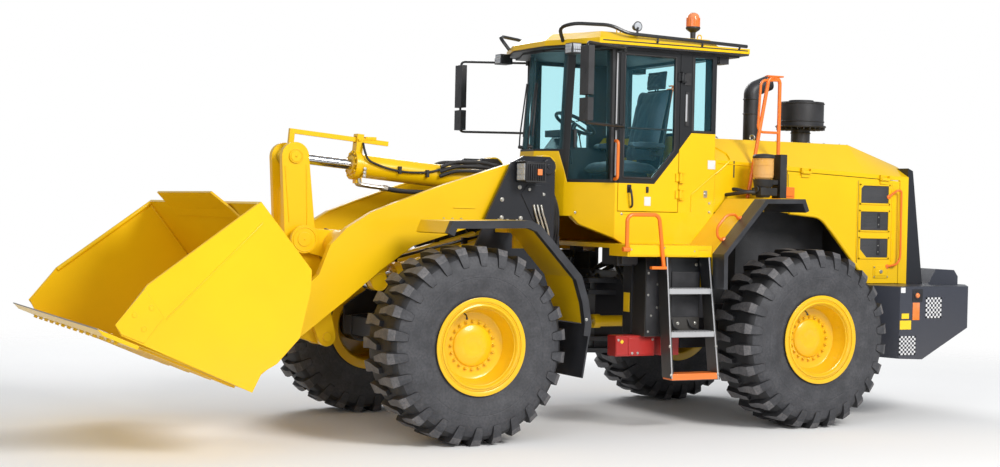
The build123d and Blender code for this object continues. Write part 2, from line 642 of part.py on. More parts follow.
save("engine_door_right", mirror(hood_door, about=Plane.XZ))

grille = plate([(grille_x, 2368), (-3290, 2343), (-3440, counterweight_top_z), (grille_x, counterweight_top_z)],
               -740, 740)
louvre_count = 10
louvre_pitch = 95
for index in range(louvre_count):
    louvre_z = 1345 + index * louvre_pitch
    for y_low, y_high in ((-660, -20), (20, 660)):
        grille -= block((-3500, -3200), (y_low, y_high), (louvre_z, louvre_z + 55))
save("rear_grille", grille)

stack_x = -1900
stack = tube([(stack_x, 0, hood_top_z), (stack_x, 0, 3090), (stack_x - 200, 0, 3170)], 75, 70)
save("exhaust_stack", stack)
cleaner = Pos(-2500, 0, 0) * (bar_z((0, 0), 92, hood_top_z, 2750) + bar_z((0, 0), 240, 2750, 2772)
                              + bar_z((0, 0), 222, 2772, 3000) + bar_z((0, 0), 120, 3000, 3020))
save("air_precleaner", cleaner)

# ---------------------------------------------------------------- platforms, fenders, ladders
cab_side_y = 772
platform_inner_y = cab_side_y + 3
half_platform = slab([(125, 780), (125, 830), (215, 905), (215, 1200), (-640, 1200), (-640, 780)],
                     platform_low_z, platform_top_z)
half_platform += block((-640, 215), (1180, 1200), (1510, platform_top_z))
half_platform += block((195, 215), (905, 1200), (1510, platform_top_z))
platform = half_platform + mirror(half_platform, about=Plane.XZ)
platform += block((-640, 100), (-780, 780), (platform_low_z, platform_top_z))
platform += block((-930, -640), (-platform_inner_y, platform_inner_y), (platform_low_z, platform_top_z))
save("platforms", platform)

rear_fender_path = [(-650, 1240), (-645, 1540), (-1080, 2025), (-1500, 2034), (-1545, 1930)]
rear_fender = ribbon(rear_fender_path, 40, platform_inner_y, 1380)
save("rear_fenders", *both_sides(rear_fender))

ladder_y = (1080, 1225)
tank_low_z = 820
ladder = plate([(-158, 1510), (-182, 1510), (-262, 470), (-238, 470)], *ladder_y)
ladder += plate([(-590, 1510), (-614, 1510), (-742, 450), (-718, 450)], *ladder_y)
steps = [(1190, 1235), (820, 865), (450, 505)]
for z_low, z_high in steps:
    step_front_x = -170 + (z_low - 1510) * 0.077
    step_rear_x = -602 + (z_high - 1510) * 0.121
    ladder += block((step_rear_x, step_front_x), ladder_y, (z_low, z_high))
save("ladders", *both_sides(ladder))

tank = block((-620, -60), (700, 1060), (tank_low_z, 1500))
save("side_tanks", *both_sides(tank))
tool_box = block((-205, 190), (870, 1000), (650, tank_low_z)) + block((-455, -265), (870, 1000), (650, tank_low_z))
save("tool_boxes", *both_sides(tool_box))

# ---------------------------------------------------------------- cab
cab_wall = 40
cab_low_z = platform_top_z
cab_bend_z = 2137
cab_high_z = 3330
cab_low_plan = [(572, 130), (400, 415), (90, cab_side_y), (-950, cab_side_y)]
cab_high_plan = [(480, 120), (330, 380), (90, cab_side_y), (-950, cab_side_y)]


def cab_body(inset):
    """Cab volume between its floor line and the roof, drawn inward by inset."""
    faces = []
    for plan, z in ((cab_low_plan, cab_low_z), (cab_low_plan, cab_bend_z), (cab_high_plan, cab_high_z)):
        ring = plan + [(x, -y) for x, y in reversed(plan)]
        drawn = []
        for index, point in enumerate(ring):
            before = ring[index - 1]
            after = ring[(index + 1) % len(ring)]
            normals = []
            for start, end in ((before, point), (point, after)):
                run = math.dist(start, end)
                normals.append(((start[1] - end[1]) / run, (end[0] - start[0]) / run))
            nx = normals[0][0] + normals[1][0]
            ny = normals[0][1] + normals[1][1]
            scale = 2 * inset / (nx * nx + ny * ny)
            drawn.append((point[0] + nx * scale, point[1] + ny * scale))
        faces.append(make_face(Polyline(*[(x, y, z) for x, y in drawn], close=True)))
    return loft(faces, ruled=True)


lower_profile = [(700, 1840), (350, 1840), (300, 1770), (0, cab_low_z), (-960, cab_low_z), (-960, 2600),
                 (-690, 2600), (-310, cab_bend_z), (380, cab_bend_z), (420, 2410), (700, 2410)]
door_x = (-560, 60)
door_z = (1895, 3310)
doorway = block((door_x[0] - door_gap, door_x[1] + door_gap), (cab_side_y - cab_wall - 1, cab_side_y + 40),
                (door_z[0] - door_gap, door_z[1] + door_gap))
door_window = [(15, 2185), (15, 3262), (-515, 3262), (-515, 2440), (-290, 2185)]
front_window = plate([(395, 2430), (345, 3290), (900, 3290), (900, 2430)], -900, 900)
side_window = plate([(125, 2165), (375, 2165), (307, 3290), (125, 3290)], 300, 900)
quarter_window = block((-905, -715), (600, 900), (2625, 3270))
rear_window = block((-1000, -800), (-650, 650), (2630, 3270))
right_window = plate(door_window, -900, -600)
windows = [front_window, side_window, mirror(side_window, about=Plane.XZ), quarter_window,
           mirror(quarter_window, about=Plane.XZ), rear_window, right_window]

cab_outer = cab_body(0)
cab_ring = cab_outer - cab_body(cab_wall)
lower_zone = plate(lower_profile, -900, 900)
shell = cab_ring & lower_zone
shell += cab_body(cab_wall - 5) & block((-950, 590), (-800, 800), (1850, 1885))
shell -= doorway
shell -= right_window
hinge_x = door_x[0] - 15
cab_hinge_z = (2050, 2200, 3090)
cab_hinges = []
for z in cab_hinge_z:
    place = Plane(origin=(hinge_x, cab_side_y, z), x_dir=(1, 0, 0), z_dir=(0, 0, 1)).location
    cab_hinges.append(hinge(place, 70, 8))
shell += cab_hinges[0][0] + cab_hinges[1][0]
save("cab_shell", shell)
posts = cab_ring - lower_zone
posts &= block((-960, 600), (-800, 800), (1845, 3400))
posts -= doorway
for window in windows:
    posts -= window
posts += cab_hinges[2][0]
save("cab_posts", posts)
glazing = cab_body(14) - cab_body(22)
panes = []
for window in windows:
    panes += (glazing & window).solids()
save("cab_glass", *panes)

door_panel = [(door_x[1], door_z[0]), (door_x[1], cab_bend_z), (-310, cab_bend_z), (door_x[0], 2425),
              (door_x[0], door_z[0])]
door_frame = [(door_x[1], cab_bend_z), (door_x[1], door_z[1]), (door_x[0], door_z[1]), (door_x[0], 2425),
              (-310, cab_bend_z)]
door_wall_y = (cab_side_y - cab_wall, cab_side_y)
save("cab_door", plate(door_panel, *door_wall_y) + cab_hinges[0][1] + cab_hinges[1][1])
save("cab_door_frame", plate(door_frame, *door_wall_y) - plate(door_window, 600, 900) + cab_hinges[2][1])
save("cab_door_glass", plate(door_window, cab_side_y - 22, cab_side_y - 14))

roof_plan = [(560, 300), (400, 700), (330, 860), (-1240, 860)]
roof_ring = roof_plan + [(x, -y) for x, y in reversed(roof_plan)]
roof_lip_z = 3375
roof_top_z = 3440
cap_plan = [(470, 270), (330, 610), (270, 770), (-860, 770)]
cap_ring = cap_plan + [(x, -y) for x, y in reversed(cap_plan)]
cap_base_plan = roof_plan[:3] + [(-900, 860)]
cap_base_ring = cap_base_plan + [(x, -y) for x, y in reversed(cap_base_plan)]
roof = slab(roof_ring, cab_high_z, roof_lip_z)
roof += loft([make_face(Polyline(*[(x, y, z) for x, y in ring], close=True))
              for ring, z in ((cap_base_ring, roof_lip_z - 2), (cap_ring, roof_top_z))], ruled=True)
save("cab_roof", roof)

# ---------------------------------------------------------------- inside the cab
seat_base = block((-600, -250), (-200, 200), (1885, 2240))
console = plate([(180, 1885), (330, 1885), (330, 2400), (200, 2560), (120, 2560)], -160, 160)
console += block((-560, -60), (-520, -330), (1885, 2480))
seat = block((-680, -180), (-250, 250), (2240, 2370))
seat += plate([(-700, 2300), (-590, 2370), (-740, 3060), (-830, 3040)], -235, 235)
save("seat", seat)
wheel_place = Pos(60, 0, 2680) * Rot(0, -28, 0)
console += wheel_place * (Torus(190, 16) + Box(380, 30, 14) + Pos(0, 0, -130) * Cylinder(24, 260))
save("cab_console", seat_base, *console.solids())

# ---------------------------------------------------------------- rails, mirrors and lamps
rail_radius = 17
rail_y = 1200 + rail_radius
front_rail = tube([(235, rail_y, 1560), (235, rail_y, 1865), (-80, rail_y, 1868), (-140, rail_y, 1420)],
                  rail_radius, 60)
grab_rail = tube([(100, cab_side_y, 2170), (100, cab_side_y + 50, 2170), (100, cab_side_y + 50, 2500),
                  (100, cab_side_y, 2500)], 14, 30)
save("handrails", *both_sides(front_rail), *both_sides(grab_rail))
top_rail = tube([(-1300, 795, 2034), (-1508, 795, 3140), (-1632, 795, 3150), (-1632, 795, 2000)],
                rail_radius, 60)
top_rail += tube([(-1632, 795, 3120), (-1420, 795, 3112), (-1395, 795, 2640), (-1632, 795, 2640)], 12, 60)
save("hood_rails", *both_sides(top_rail))

mirror_x = (615, 675)
mirror_y = (1120, 1260)
mirror_set = block(mirror_x, mirror_y, (2850, 3255))
mirror_set += block(mirror_x, mirror_y, (2635, 2825))
mirror_set += tube([(90, cab_side_y, 3290), (90, 900, 3290), (645, 1190, 3290), (645, 1190, 2620),
                    (90, 900, 2620), (90, cab_side_y, 2620)], 12, 40)
save("mirrors", *both_sides(mirror_set))

lamp = block((430, 520), (600, 720), (3240, cab_high_z))
save("work_lamps", *both_sides(lamp))
beacon_place = (-1000, 300)
save("beacon", bar_z(beacon_place, 24, roof_lip_z, 3590) + bar_z(beacon_place, 68, 3590, 3740))
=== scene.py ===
import json
import math

import bmesh
import bpy
from mathutils import Matrix, Vector


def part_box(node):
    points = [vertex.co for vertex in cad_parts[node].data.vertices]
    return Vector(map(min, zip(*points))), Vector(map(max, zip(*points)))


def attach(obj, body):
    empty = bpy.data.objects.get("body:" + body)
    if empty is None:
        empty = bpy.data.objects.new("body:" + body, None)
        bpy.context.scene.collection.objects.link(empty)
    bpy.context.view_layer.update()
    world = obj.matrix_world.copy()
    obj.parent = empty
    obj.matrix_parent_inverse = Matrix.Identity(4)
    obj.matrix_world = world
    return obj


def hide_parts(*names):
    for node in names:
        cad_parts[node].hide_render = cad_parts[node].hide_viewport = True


# An articulated wheel loader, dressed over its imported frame. Metres, in the row frame.
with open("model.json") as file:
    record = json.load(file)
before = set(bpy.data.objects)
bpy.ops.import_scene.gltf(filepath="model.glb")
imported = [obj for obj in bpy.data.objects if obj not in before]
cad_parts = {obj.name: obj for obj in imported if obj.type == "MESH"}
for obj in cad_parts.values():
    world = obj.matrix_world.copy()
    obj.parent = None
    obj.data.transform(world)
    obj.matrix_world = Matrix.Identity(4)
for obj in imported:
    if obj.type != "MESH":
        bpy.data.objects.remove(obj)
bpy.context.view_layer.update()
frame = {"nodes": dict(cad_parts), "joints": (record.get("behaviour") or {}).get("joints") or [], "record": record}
joints = {joint["name"]: joint for joint in frame["joints"]}
slot_of_node = {part["node"]: part["material_slot"] for part in frame["record"]["subparts"]}
scene = bpy.context.scene

hinge_x = joints["articulation"]["pos_m"][0]
sides = (("left", 1), ("right", -1))


def at(x, y, z):
    """Point in the row frame from X measured from the articulation axis."""
    return Vector((hinge_x + x, y, z))


def pivot(joint):
    return Vector(joints[joint]["pos_m"])


# ---------------------------------------------------------------- node helpers
def add_node(tree, kind, links=None, **settings):
    """New shader node. links maps an input's name or number to a value or to another node's output."""
    node = tree.nodes.new(kind)
    for name, value in settings.items():
        setattr(node, name, value)
    for socket, value in (links or {}).items():
        if isinstance(value, bpy.types.NodeSocket):
            tree.links.new(value, node.inputs[socket])
        else:
            node.inputs[socket].default_value = value
    return node


def add_ramp(tree, factor, stops):
    """Colour ramp from (position, grey or colour) stops."""
    node = add_node(tree, "ShaderNodeValToRGB", {0: factor})
    ramp = node.color_ramp
    while len(ramp.elements) < len(stops):
        ramp.elements.new(0.5)
    for element, (position, colour) in zip(ramp.elements, stops):
        element.position = position
        element.color = (colour, colour, colour, 1) if isinstance(colour, float) else colour
    return node.outputs[0]


def add_mix(tree, factor, first, second, blend_type="MIX"):
    """Colour mix. first and second are colours or sockets."""
    node = add_node(tree, "ShaderNodeMix", data_type="RGBA", blend_type=blend_type)
    for socket, value in ((0, factor), (6, first), (7, second)):
        if isinstance(value, bpy.types.NodeSocket):
            tree.links.new(value, node.inputs[socket])
        else:
            node.inputs[socket].default_value = value
    return node.outputs[2]


def new_group(name, inputs, outputs):
    """Empty node group; inputs are (name, kind, value) and outputs (name, kind)."""
    tree = bpy.data.node_groups.new(name, "ShaderNodeTree")
    for label, kind, value in inputs:
        socket = tree.interface.new_socket(name=label, in_out="INPUT", socket_type="NodeSocket" + kind)
        socket.default_value = value
    for label, kind in outputs:
        tree.interface.new_socket(name=label, in_out="OUTPUT", socket_type="NodeSocket" + kind)
    return tree, tree.nodes.new("NodeGroupInput"), tree.nodes.new("NodeGroupOutput")


def object_place(tree):
    return tree.nodes.new("ShaderNodeTexCoord").outputs["Object"]


# ---------------------------------------------------------------- effects shared by materials
def make_coat_group():
    """Sprayed paint: slow drift of tone, orange peel, fine dust that thickens near the ground."""
    tree, given, result = new_group(
        "sprayed_coat",
        [("Paint", "Color", (1, 1, 1, 1)), ("Dust", "Float", 0.2), ("Peel", "Float", 0.3)],
        [("Color", "Color"), ("Roughness", "Float"), ("Normal", "Vector")],
    )
    place = object_place(tree)
    drift = add_node(tree, "ShaderNodeTexNoise", {"Vector": place, "Scale": 1.3, "Detail": 3.0})
    grain = add_node(tree, "ShaderNodeTexNoise", {"Vector": place, "Scale": 90.0, "Detail": 2.0})
    peel = add_node(tree, "ShaderNodeTexNoise", {"Vector": place, "Scale": 210.0, "Detail": 1.0})
    darker = add_mix(tree, 1.0, given.outputs["Paint"], (0.86, 0.84, 0.80, 1), "MULTIPLY")
    tone = add_mix(tree, add_ramp(tree, drift.outputs[0], [(0.35, 0.0), (0.75, 0.55)]),
                   given.outputs["Paint"], darker)
    height = add_node(tree, "ShaderNodeSeparateXYZ", {0: place}).outputs[2]
    low = add_node(tree, "ShaderNodeMapRange", {"Value": height, "From Min": 1.4, "From Max": 0.1})
    patch = add_node(tree, "ShaderNodeMath", {0: low.outputs[0], 1: drift.outputs[0]}, operation="MULTIPLY")
    dusty = add_node(tree, "ShaderNodeMath", {0: patch.outputs[0], 1: given.outputs["Dust"]},
                     operation="MULTIPLY")
    colour = add_mix(tree, dusty.outputs[0], tone, (0.36, 0.31, 0.25, 1))
    rough = add_node(tree, "ShaderNodeMapRange",
                     {"Value": grain.outputs[0], "To Min": 0.24, "To Max": 0.38})
    rougher = add_node(tree, "ShaderNodeMath", {0: rough.outputs[0], 1: dusty.outputs[0]}, operation="ADD")
    edge = add_node(tree, "ShaderNodeBevel", {"Radius": 0.007}, samples=4)
    bump = add_node(tree, "ShaderNodeBump", {"Height": peel.outputs[0], "Strength": given.outputs["Peel"],
                                             "Distance": 0.0012, "Normal": edge.outputs[0]})
    tree.links.new(colour, result.inputs["Color"])
    tree.links.new(rougher.outputs[0], result.inputs["Roughness"])
    tree.links.new(bump.outputs[0], result.inputs["Normal"])
    return tree


def make_grain_group():
    """Fine moulded or cast grain with a faint change of tone."""
    tree, given, result = new_group(
        "moulded_grain",
        [("Base", "Color", (0.1, 0.1, 0.1, 1)), ("Grain Scale", "Float", 120.0), ("Depth", "Float", 0.4),
         ("Gloss", "Float", 0.5)],
        [("Color", "Color"), ("Roughness", "Float"), ("Normal", "Vector")],
    )
    place = object_place(tree)
    grain = add_node(tree, "ShaderNodeTexNoise",
                     {"Vector": place, "Scale": given.outputs["Grain Scale"], "Detail": 4.0})
    cloud = add_node(tree, "ShaderNodeTexNoise", {"Vector": place, "Scale": 4.0, "Detail": 3.0})
    lighter = add_mix(tree, 1.0, given.outputs["Base"], (0.05, 0.05, 0.055, 1), "ADD")
    colour = add_mix(tree, add_ramp(tree, cloud.outputs[0], [(0.4, 0.0), (0.8, 0.6)]),
                     given.outputs["Base"], lighter)
    spread = add_node(tree, "ShaderNodeMapRange",
                      {"Value": grain.outputs[0], "To Min": -0.08, "To Max": 0.10})
    rough = add_node(tree, "ShaderNodeMath", {0: given.outputs["Gloss"], 1: spread.outputs[0]},
                     operation="ADD")
    edge = add_node(tree, "ShaderNodeBevel", {"Radius": 0.004}, samples=4)
    bump = add_node(tree, "ShaderNodeBump", {"Height": grain.outputs[0], "Strength": given.outputs["Depth"],
                                             "Distance": 0.002, "Normal": edge.outputs[0]})
    tree.links.new(colour, result.inputs["Color"])
    tree.links.new(rough.outputs[0], result.inputs["Roughness"])
    tree.links.new(bump.outputs[0], result.inputs["Normal"])
    return tree


def make_rubber_group():
    """Tyre rubber: mould marks, a bloom of grey dust and small scuffs."""
    tree, given, result = new_group(
        "dusty_rubber",
        [("Rubber", "Color", (0.03, 0.03, 0.033, 1)), ("Bloom", "Color", (0.2, 0.19, 0.185, 1)),
         ("Wear", "Float", 0.4)],
        [("Color", "Color"), ("Roughness", "Float"), ("Height", "Float")],
    )
    place = object_place(tree)
    cloud = add_node(tree, "ShaderNodeTexNoise", {"Vector": place, "Scale": 7.0, "Detail": 5.0})
    scuff = add_node(tree, "ShaderNodeTexNoise", {"Vector": place, "Scale": 55.0, "Detail": 5.0})
    both = add_node(tree, "ShaderNodeMath", {0: cloud.outputs[0], 1: scuff.outputs[0]},
                    operation="MULTIPLY")
    spots = add_ramp(tree, both.outputs[0], [(0.14, 0.0), (0.42, 1.0)])
    amount = add_node(tree, "ShaderNodeMath", {0: spots, 1: given.outputs["Wear"]}, operation="MULTIPLY")
    colour = add_mix(tree, amount.outputs[0], given.outputs["Rubber"], given.outputs["Bloom"])
    rough = add_node(tree, "ShaderNodeMapRange",
                     {"Value": scuff.outputs[0], "To Min": 0.50, "To Max": 0.78})
    tree.links.new(colour, result.inputs["Color"])
    tree.links.new(rough.outputs[0], result.inputs["Roughness"])
    tree.links.new(scuff.outputs[0], result.inputs["Height"])
    return tree


def make_weave_group():
    """Woven seat cloth: two crossed threads and a soft change of tone."""
    tree, given, result = new_group(
        "woven_cloth", [("Thread", "Color", (0.05, 0.06, 0.08, 1))],
        [("Color", "Color"), ("Roughness", "Float"), ("Height", "Float")],
    )
    place = object_place(tree)
    bands = []
    for direction in ("X", "Z"):
        wave = add_node(tree, "ShaderNodeTexWave", {"Vector": place, "Scale": 95.0, "Distortion": 0.6},
                        bands_direction=direction)
        bands.append(wave.outputs[1])
    weave = add_node(tree, "ShaderNodeMath", {0: bands[0], 1: bands[1]}, operation="MAXIMUM")
    lighter = add_mix(tree, 1.0, given.outputs["Thread"], (0.06, 0.07, 0.09, 1), "ADD")
    colour = add_mix(tree, weave.outputs[0], given.outputs["Thread"], lighter)
    rough = add_node(tree, "ShaderNodeMapRange",
                     {"Value": weave.outputs[0], "To Min": 0.95, "To Max": 0.75})
    tree.links.new(colour, result.inputs["Color"])
    tree.links.new(rough.outputs[0], result.inputs["Roughness"])
    tree.links.new(weave.outputs[0], result.inputs["Height"])
    return tree


coat_group = make_coat_group()
grain_group = make_grain_group()
rubber_group = make_rubber_group()
weave_group = make_weave_group()


# ---------------------------------------------------------------- materials
def new_material(name):
    """Material with a Principled shader; returns the material, its tree and the shader."""
    material = bpy.data.materials.new(name)
    material.use_nodes = True
    tree = material.node_tree
    return material, tree, tree.nodes["Principled BSDF"]


def use_group(tree, group, values):
    node = tree.nodes.new("ShaderNodeGroup")
    node.node_tree = group
    for socket, value in values.items():
        node.inputs[socket].default_value = value
    return node


def paint(name, colour, dust=0.25, peel=0.10, coat=0.5, gloss_level=0.5):
    material, tree, shader = new_material(name)
    skin = use_group(tree, coat_group, {"Paint": (*colour, 1), "Dust": dust, "Peel": peel})
    tree.links.new(skin.outputs["Color"], shader.inputs["Base Color"])
    tree.links.new(skin.outputs["Roughness"], shader.inputs["Roughness"])
    tree.links.new(skin.outputs["Normal"], shader.inputs["Normal"])
    shader.inputs["Coat Weight"].default_value = coat
    shader.inputs["Coat Roughness"].default_value = 0.12
    shader.inputs["Specular IOR Level"].default_value = gloss_level
    return material


def moulded(name, colour, scale=120.0, depth=0.4, gloss=0.5, metallic=0.0):
    material, tree, shader = new_material(name)
    skin = use_group(tree, grain_group, {"Base": (*colour, 1), "Grain Scale": scale, "Depth": depth,
                                         "Gloss": gloss})
    tree.links.new(skin.outputs["Color"], shader.inputs["Base Color"])
    tree.links.new(skin.outputs["Roughness"], shader.inputs["Roughness"])
    tree.links.new(skin.outputs["Normal"], shader.inputs["Normal"])
    shader.inputs["Metallic"].default_value = metallic
    return material


def rubber(name, colour, bloom, wear):
    material, tree, shader = new_material(name)
    skin = use_group(tree, rubber_group, {"Rubber": (*colour, 1), "Bloom": (*bloom, 1), "Wear": wear})
    bump = add_node(tree, "ShaderNodeBump", {"Height": skin.outputs["Height"], "Strength": 0.35,
                                             "Distance": 0.003})
    tree.links.new(skin.outputs["Color"], shader.inputs["Base Color"])
    tree.links.new(skin.outputs["Roughness"], shader.inputs["Roughness"])
    tree.links.new(bump.outputs[0], shader.inputs["Normal"])
    return material


def cloth(name, colour):
    material, tree, shader = new_material(name)
    skin = use_group(tree, weave_group, {"Thread": (*colour, 1)})
    bump = add_node(tree, "ShaderNodeBump", {"Height": skin.outputs["Height"], "Strength": 0.5,
                                             "Distance": 0.0015})
    tree.links.new(skin.outputs["Color"], shader.inputs["Base Color"])
    tree.links.new(skin.outputs["Roughness"], shader.inputs["Roughness"])
    tree.links.new(bump.outputs[0], shader.inputs["Normal"])
    shader.inputs["Sheen Weight"].default_value = 0.35
    return material


def clear(name, colour, roughness=0.03, alpha=0.35, transmission=0.0):
    """See-through pane or lens with a thin film of dust."""
    material, tree, shader = new_material(name)
    film = add_node(tree, "ShaderNodeTexNoise", {"Vector": object_place(tree), "Scale": 5.0, "Detail": 6.0})
    rough = add_node(tree, "ShaderNodeMapRange", {"Value": film.outputs[0], "To Min": roughness,
                                                  "To Max": roughness + 0.06})
    tone = add_mix(tree, add_ramp(tree, film.outputs[0], [(0.3, 0.0), (0.9, 0.25)]), (*colour, 1),
                   (0.8, 0.85, 0.85, 1))
    tree.links.new(tone, shader.inputs["Base Color"])
    tree.links.new(rough.outputs[0], shader.inputs["Roughness"])
    shader.inputs["Alpha"].default_value = alpha
    shader.inputs["Transmission Weight"].default_value = transmission
    return material


def window(name, tint, film_colour, share=0.18, alpha=0.30):
    """Cab pane: light passes through tinted, under a thin glossy film."""
    material = clear(name, film_colour, alpha=alpha)
    tree = material.node_tree
    output = tree.nodes["Material Output"]
    tinted = add_node(tree, "ShaderNodeBsdfTransparent")
    tinted.inputs["Color"].default_value = (*tint, 1)
    both = add_node(tree, "ShaderNodeMixShader")
    both.inputs[0].default_value = share
    tree.links.new(tinted.outputs[0], both.inputs[1])
    tree.links.new(tree.nodes["Principled BSDF"].outputs[0], both.inputs[2])
    tree.links.new(both.outputs[0], output.inputs["Surface"])
    return material


yellow_paint = paint("yellow_paint", (0.88, 0.545, 0.003), dust=0.08, coat=0.22, gloss_level=0.3)
yellow_rim = paint("wheel_yellow_paint", (0.84, 0.49, 0.004), dust=0.08, coat=0.4, gloss_level=0.3)
frame_grey = paint("dark_grey_paint", (0.020, 0.022, 0.028), dust=0.15, coat=0.10, gloss_level=0.35)
ballast_grey = paint("counterweight_grey_paint", (0.044, 0.049, 0.066),
                     dust=0.15, peel=0.35, coat=0.08, gloss_level=0.35)
black_paint = paint("black_paint", (0.010, 0.011, 0.013), dust=0.4, coat=0.2)
orange_paint = paint("orange_paint", (0.90, 0.19, 0.012), dust=0.2, coat=0.3)
red_paint = paint("red_paint", (0.42, 0.010, 0.008), dust=0.12, coat=0.1)
silver_paint = paint("silver_grey_paint", (0.42, 0.43, 0.45), dust=0.3)
white_paint = paint("white_paint", (0.75, 0.76, 0.78), dust=0.2)
amber_paint = paint("yellow_plate_paint", (0.95, 0.62, 0.01), dust=0.1)
fender_black = moulded("fender_black_plastic", (0.022, 0.023, 0.027), scale=260.0, depth=0.25, gloss=0.36)
black_plastic = moulded("black_plastic", (0.012, 0.012, 0.014), scale=300.0, depth=0.25, gloss=0.45)
hose_rubber = moulded("hose_rubber", (0.010, 0.010, 0.011), scale=380.0, depth=0.5, gloss=0.55)
cast_iron = moulded("cast_iron", (0.030, 0.031, 0.034), scale=70.0, depth=0.6, gloss=0.5)
vent_grey = moulded("vent_dark_grey", (0.055, 0.057, 0.062), scale=200.0, depth=0.3, gloss=0.45)
worn_steel = moulded("worn_steel", (0.30, 0.30, 0.31), scale=60.0, depth=0.3, gloss=0.38, metallic=0.9)
zinc_steel = moulded("zinc_plated_steel", (0.55, 0.54, 0.50),
                     scale=200.0, depth=0.15, gloss=0.32, metallic=1.0)
chrome = moulded("chrome_rod", (0.50, 0.51, 0.53), scale=500.0, depth=0.03, gloss=0.12, metallic=1.0)
mirror_glass = moulded("mirror_glass", (0.75, 0.77, 0.80), scale=500.0, depth=0.0, gloss=0.10, metallic=1.0)
# Tyre rubbers: the sidewall; the lug tops, with more dust and wear; and a near-black rubber for the grooves, lug
# flanks and lug ends, which is painted shade in the tread's recesses.
tyre_side = rubber("tyre_sidewall_rubber", (0.030, 0.031, 0.036), (0.105, 0.105, 0.115), 0.5)
tyre_lug = rubber("tyre_lug_rubber", (0.060, 0.060, 0.066), (0.19, 0.18, 0.18), 0.75)
groove_painted_shade = rubber("groove_painted_shade_rubber", (0.010, 0.010, 0.012), (0.04, 0.04, 0.042), 0.3)
seat_cloth = cloth("seat_cloth", (0.020, 0.024, 0.034))
cab_pane = window("cab_glass", (0.845, 0.985, 1.0), (0.06, 0.30, 0.42), share=0.12)
lamp_lens = clear("lamp_lens", (0.62, 0.65, 0.70), roughness=0.06, alpha=0.75)
amber_lens = clear("amber_lens", (0.85, 0.20, 0.008), roughness=0.08, alpha=0.94)
red_lens = clear("red_lens", (0.60, 0.02, 0.015), roughness=0.08, alpha=0.95)
amber_bowl = clear("filter_bowl", (0.85, 0.42, 0.06), roughness=0.06, alpha=0.75)

slot_material = {
    "yellow_paint": yellow_paint, "dark_paint": frame_grey, "grey_steel": worn_steel,
    "orange_paint": orange_paint, "red_paint": red_paint, "cast_iron": cast_iron, "chrome_rod": chrome,
    "tyre_rubber": tyre_side, "clear_glass": cab_pane, "amber_plastic": amber_lens,
    "black_plastic": black_plastic, "seat_fabric": seat_cloth, "lamp_plastic": lamp_lens,
}
node_material = {"counterweight": ballast_grey, "fender_bands": fender_black, "rear_fenders": fender_black,
                 "cab_posts": black_paint, "cab_door_frame": black_paint, "mirrors": black_plastic,
                 "work_lamps": black_plastic, "headlights": black_plastic, "side_tanks": black_paint,
                 "exhaust_stack": black_plastic, "air_precleaner": black_plastic, "powertrain": cast_iron,
                 "rear_grille": frame_grey, "ladders": black_paint, "bucket_pins": yellow_paint,
                 "bellcrank_pin": yellow_paint}


def dress_frame():
    """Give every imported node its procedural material."""
    for name, node in frame["nodes"].items():
        material = node_material.get(name) or slot_material[slot_of_node[name]]
        if not node.material_slots:
            node.data.materials.append(material)
        for material_slot in node.material_slots:
            material_slot.material = material


dress_frame()


# ---------------------------------------------------------------- mesh helpers
def finish_piece(name, mesh, materials, body, bevel=0.0, smooth=35.0):
    """Object from a bmesh: materials, rounded edges, smooth shading and body."""
    data = bpy.data.meshes.new(name)
    bmesh.ops.recalc_face_normals(mesh, faces=mesh.faces)
    mesh.to_mesh(data)
    mesh.free()
    for material in materials if isinstance(materials, (list, tuple)) else [materials]:
        data.materials.append(material)
    piece = bpy.data.objects.new(name, data)
    scene.collection.objects.link(piece)
    if bevel:
        rounding = piece.modifiers.new("rounded_edges", "BEVEL")
        rounding.width = bevel
        rounding.segments = 2
        rounding.limit_method = "ANGLE"
        rounding.angle_limit = math.radians(30)
    if smooth:
        data.shade_smooth()
        data.set_sharp_from_angle(angle=math.radians(smooth))
    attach(piece, body)
    return piece


def add_box(mesh, low, high, turn=None):
    """Box between two corners, turned by a matrix."""
    low, high = Vector(low), Vector(high)
    middle = (low + high) / 2
    size = Matrix.Diagonal((*[abs(value) for value in (high - low)], 1))
    place = (turn or Matrix.Identity(4)) @ Matrix.Translation(middle) @ size
    return bmesh.ops.create_cube(mesh, size=1, matrix=place)["verts"]


def add_plate(mesh, outline, y_low, y_high, turn=None):
    """Outline of (x, z) points between two Y planes."""
    rings = []
    for y in (y_low, y_high):
        points = [Vector((x, y, z)) for x, z in outline]
        rings.append([mesh.verts.new(turn @ point if turn else point) for point in points])
    mesh.faces.new(rings[0])
    mesh.faces.new(rings[1][::-1])
    count = len(outline)
    for index in range(count):
        following = (index + 1) % count
        mesh.faces.new((rings[0][following], rings[0][index], rings[1][index], rings[1][following]))


def add_round(mesh, start, end, radius, segments=16, end_radius=None):
    """Round bar or cone between two points."""
    start, end = Vector(start), Vector(end)
    run = end - start
    turn = run.to_track_quat("Z", "Y").to_matrix().to_4x4()
    place = Matrix.Translation((start + end) / 2) @ turn
    bmesh.ops.create_cone(mesh, cap_ends=True, segments=segments, radius1=radius,
                          radius2=radius if end_radius is None else end_radius,
                          depth=run.length, matrix=place)


def add_turned(mesh, profile, segments, place, closed=False, face_material=None):
    """Surface turned about the local Y axis from (radius, y) points."""
    rings = []
    for index in range(segments):
        angle = 2 * math.pi * index / segments
        rings.append([mesh.verts.new(place @ Vector((radius * math.sin(angle), y,
                                                     radius * math.cos(angle)))) for radius, y in profile])
    steps = len(profile) if closed else len(profile) - 1
    for index in range(segments):
        first, second = rings[index], rings[(index + 1) % segments]
        for step in range(steps):
            after = (step + 1) % len(profile)
            face = mesh.faces.new((first[step], second[step], second[after], first[after]))
            if face_material:
                face.material_index = face_material(step)


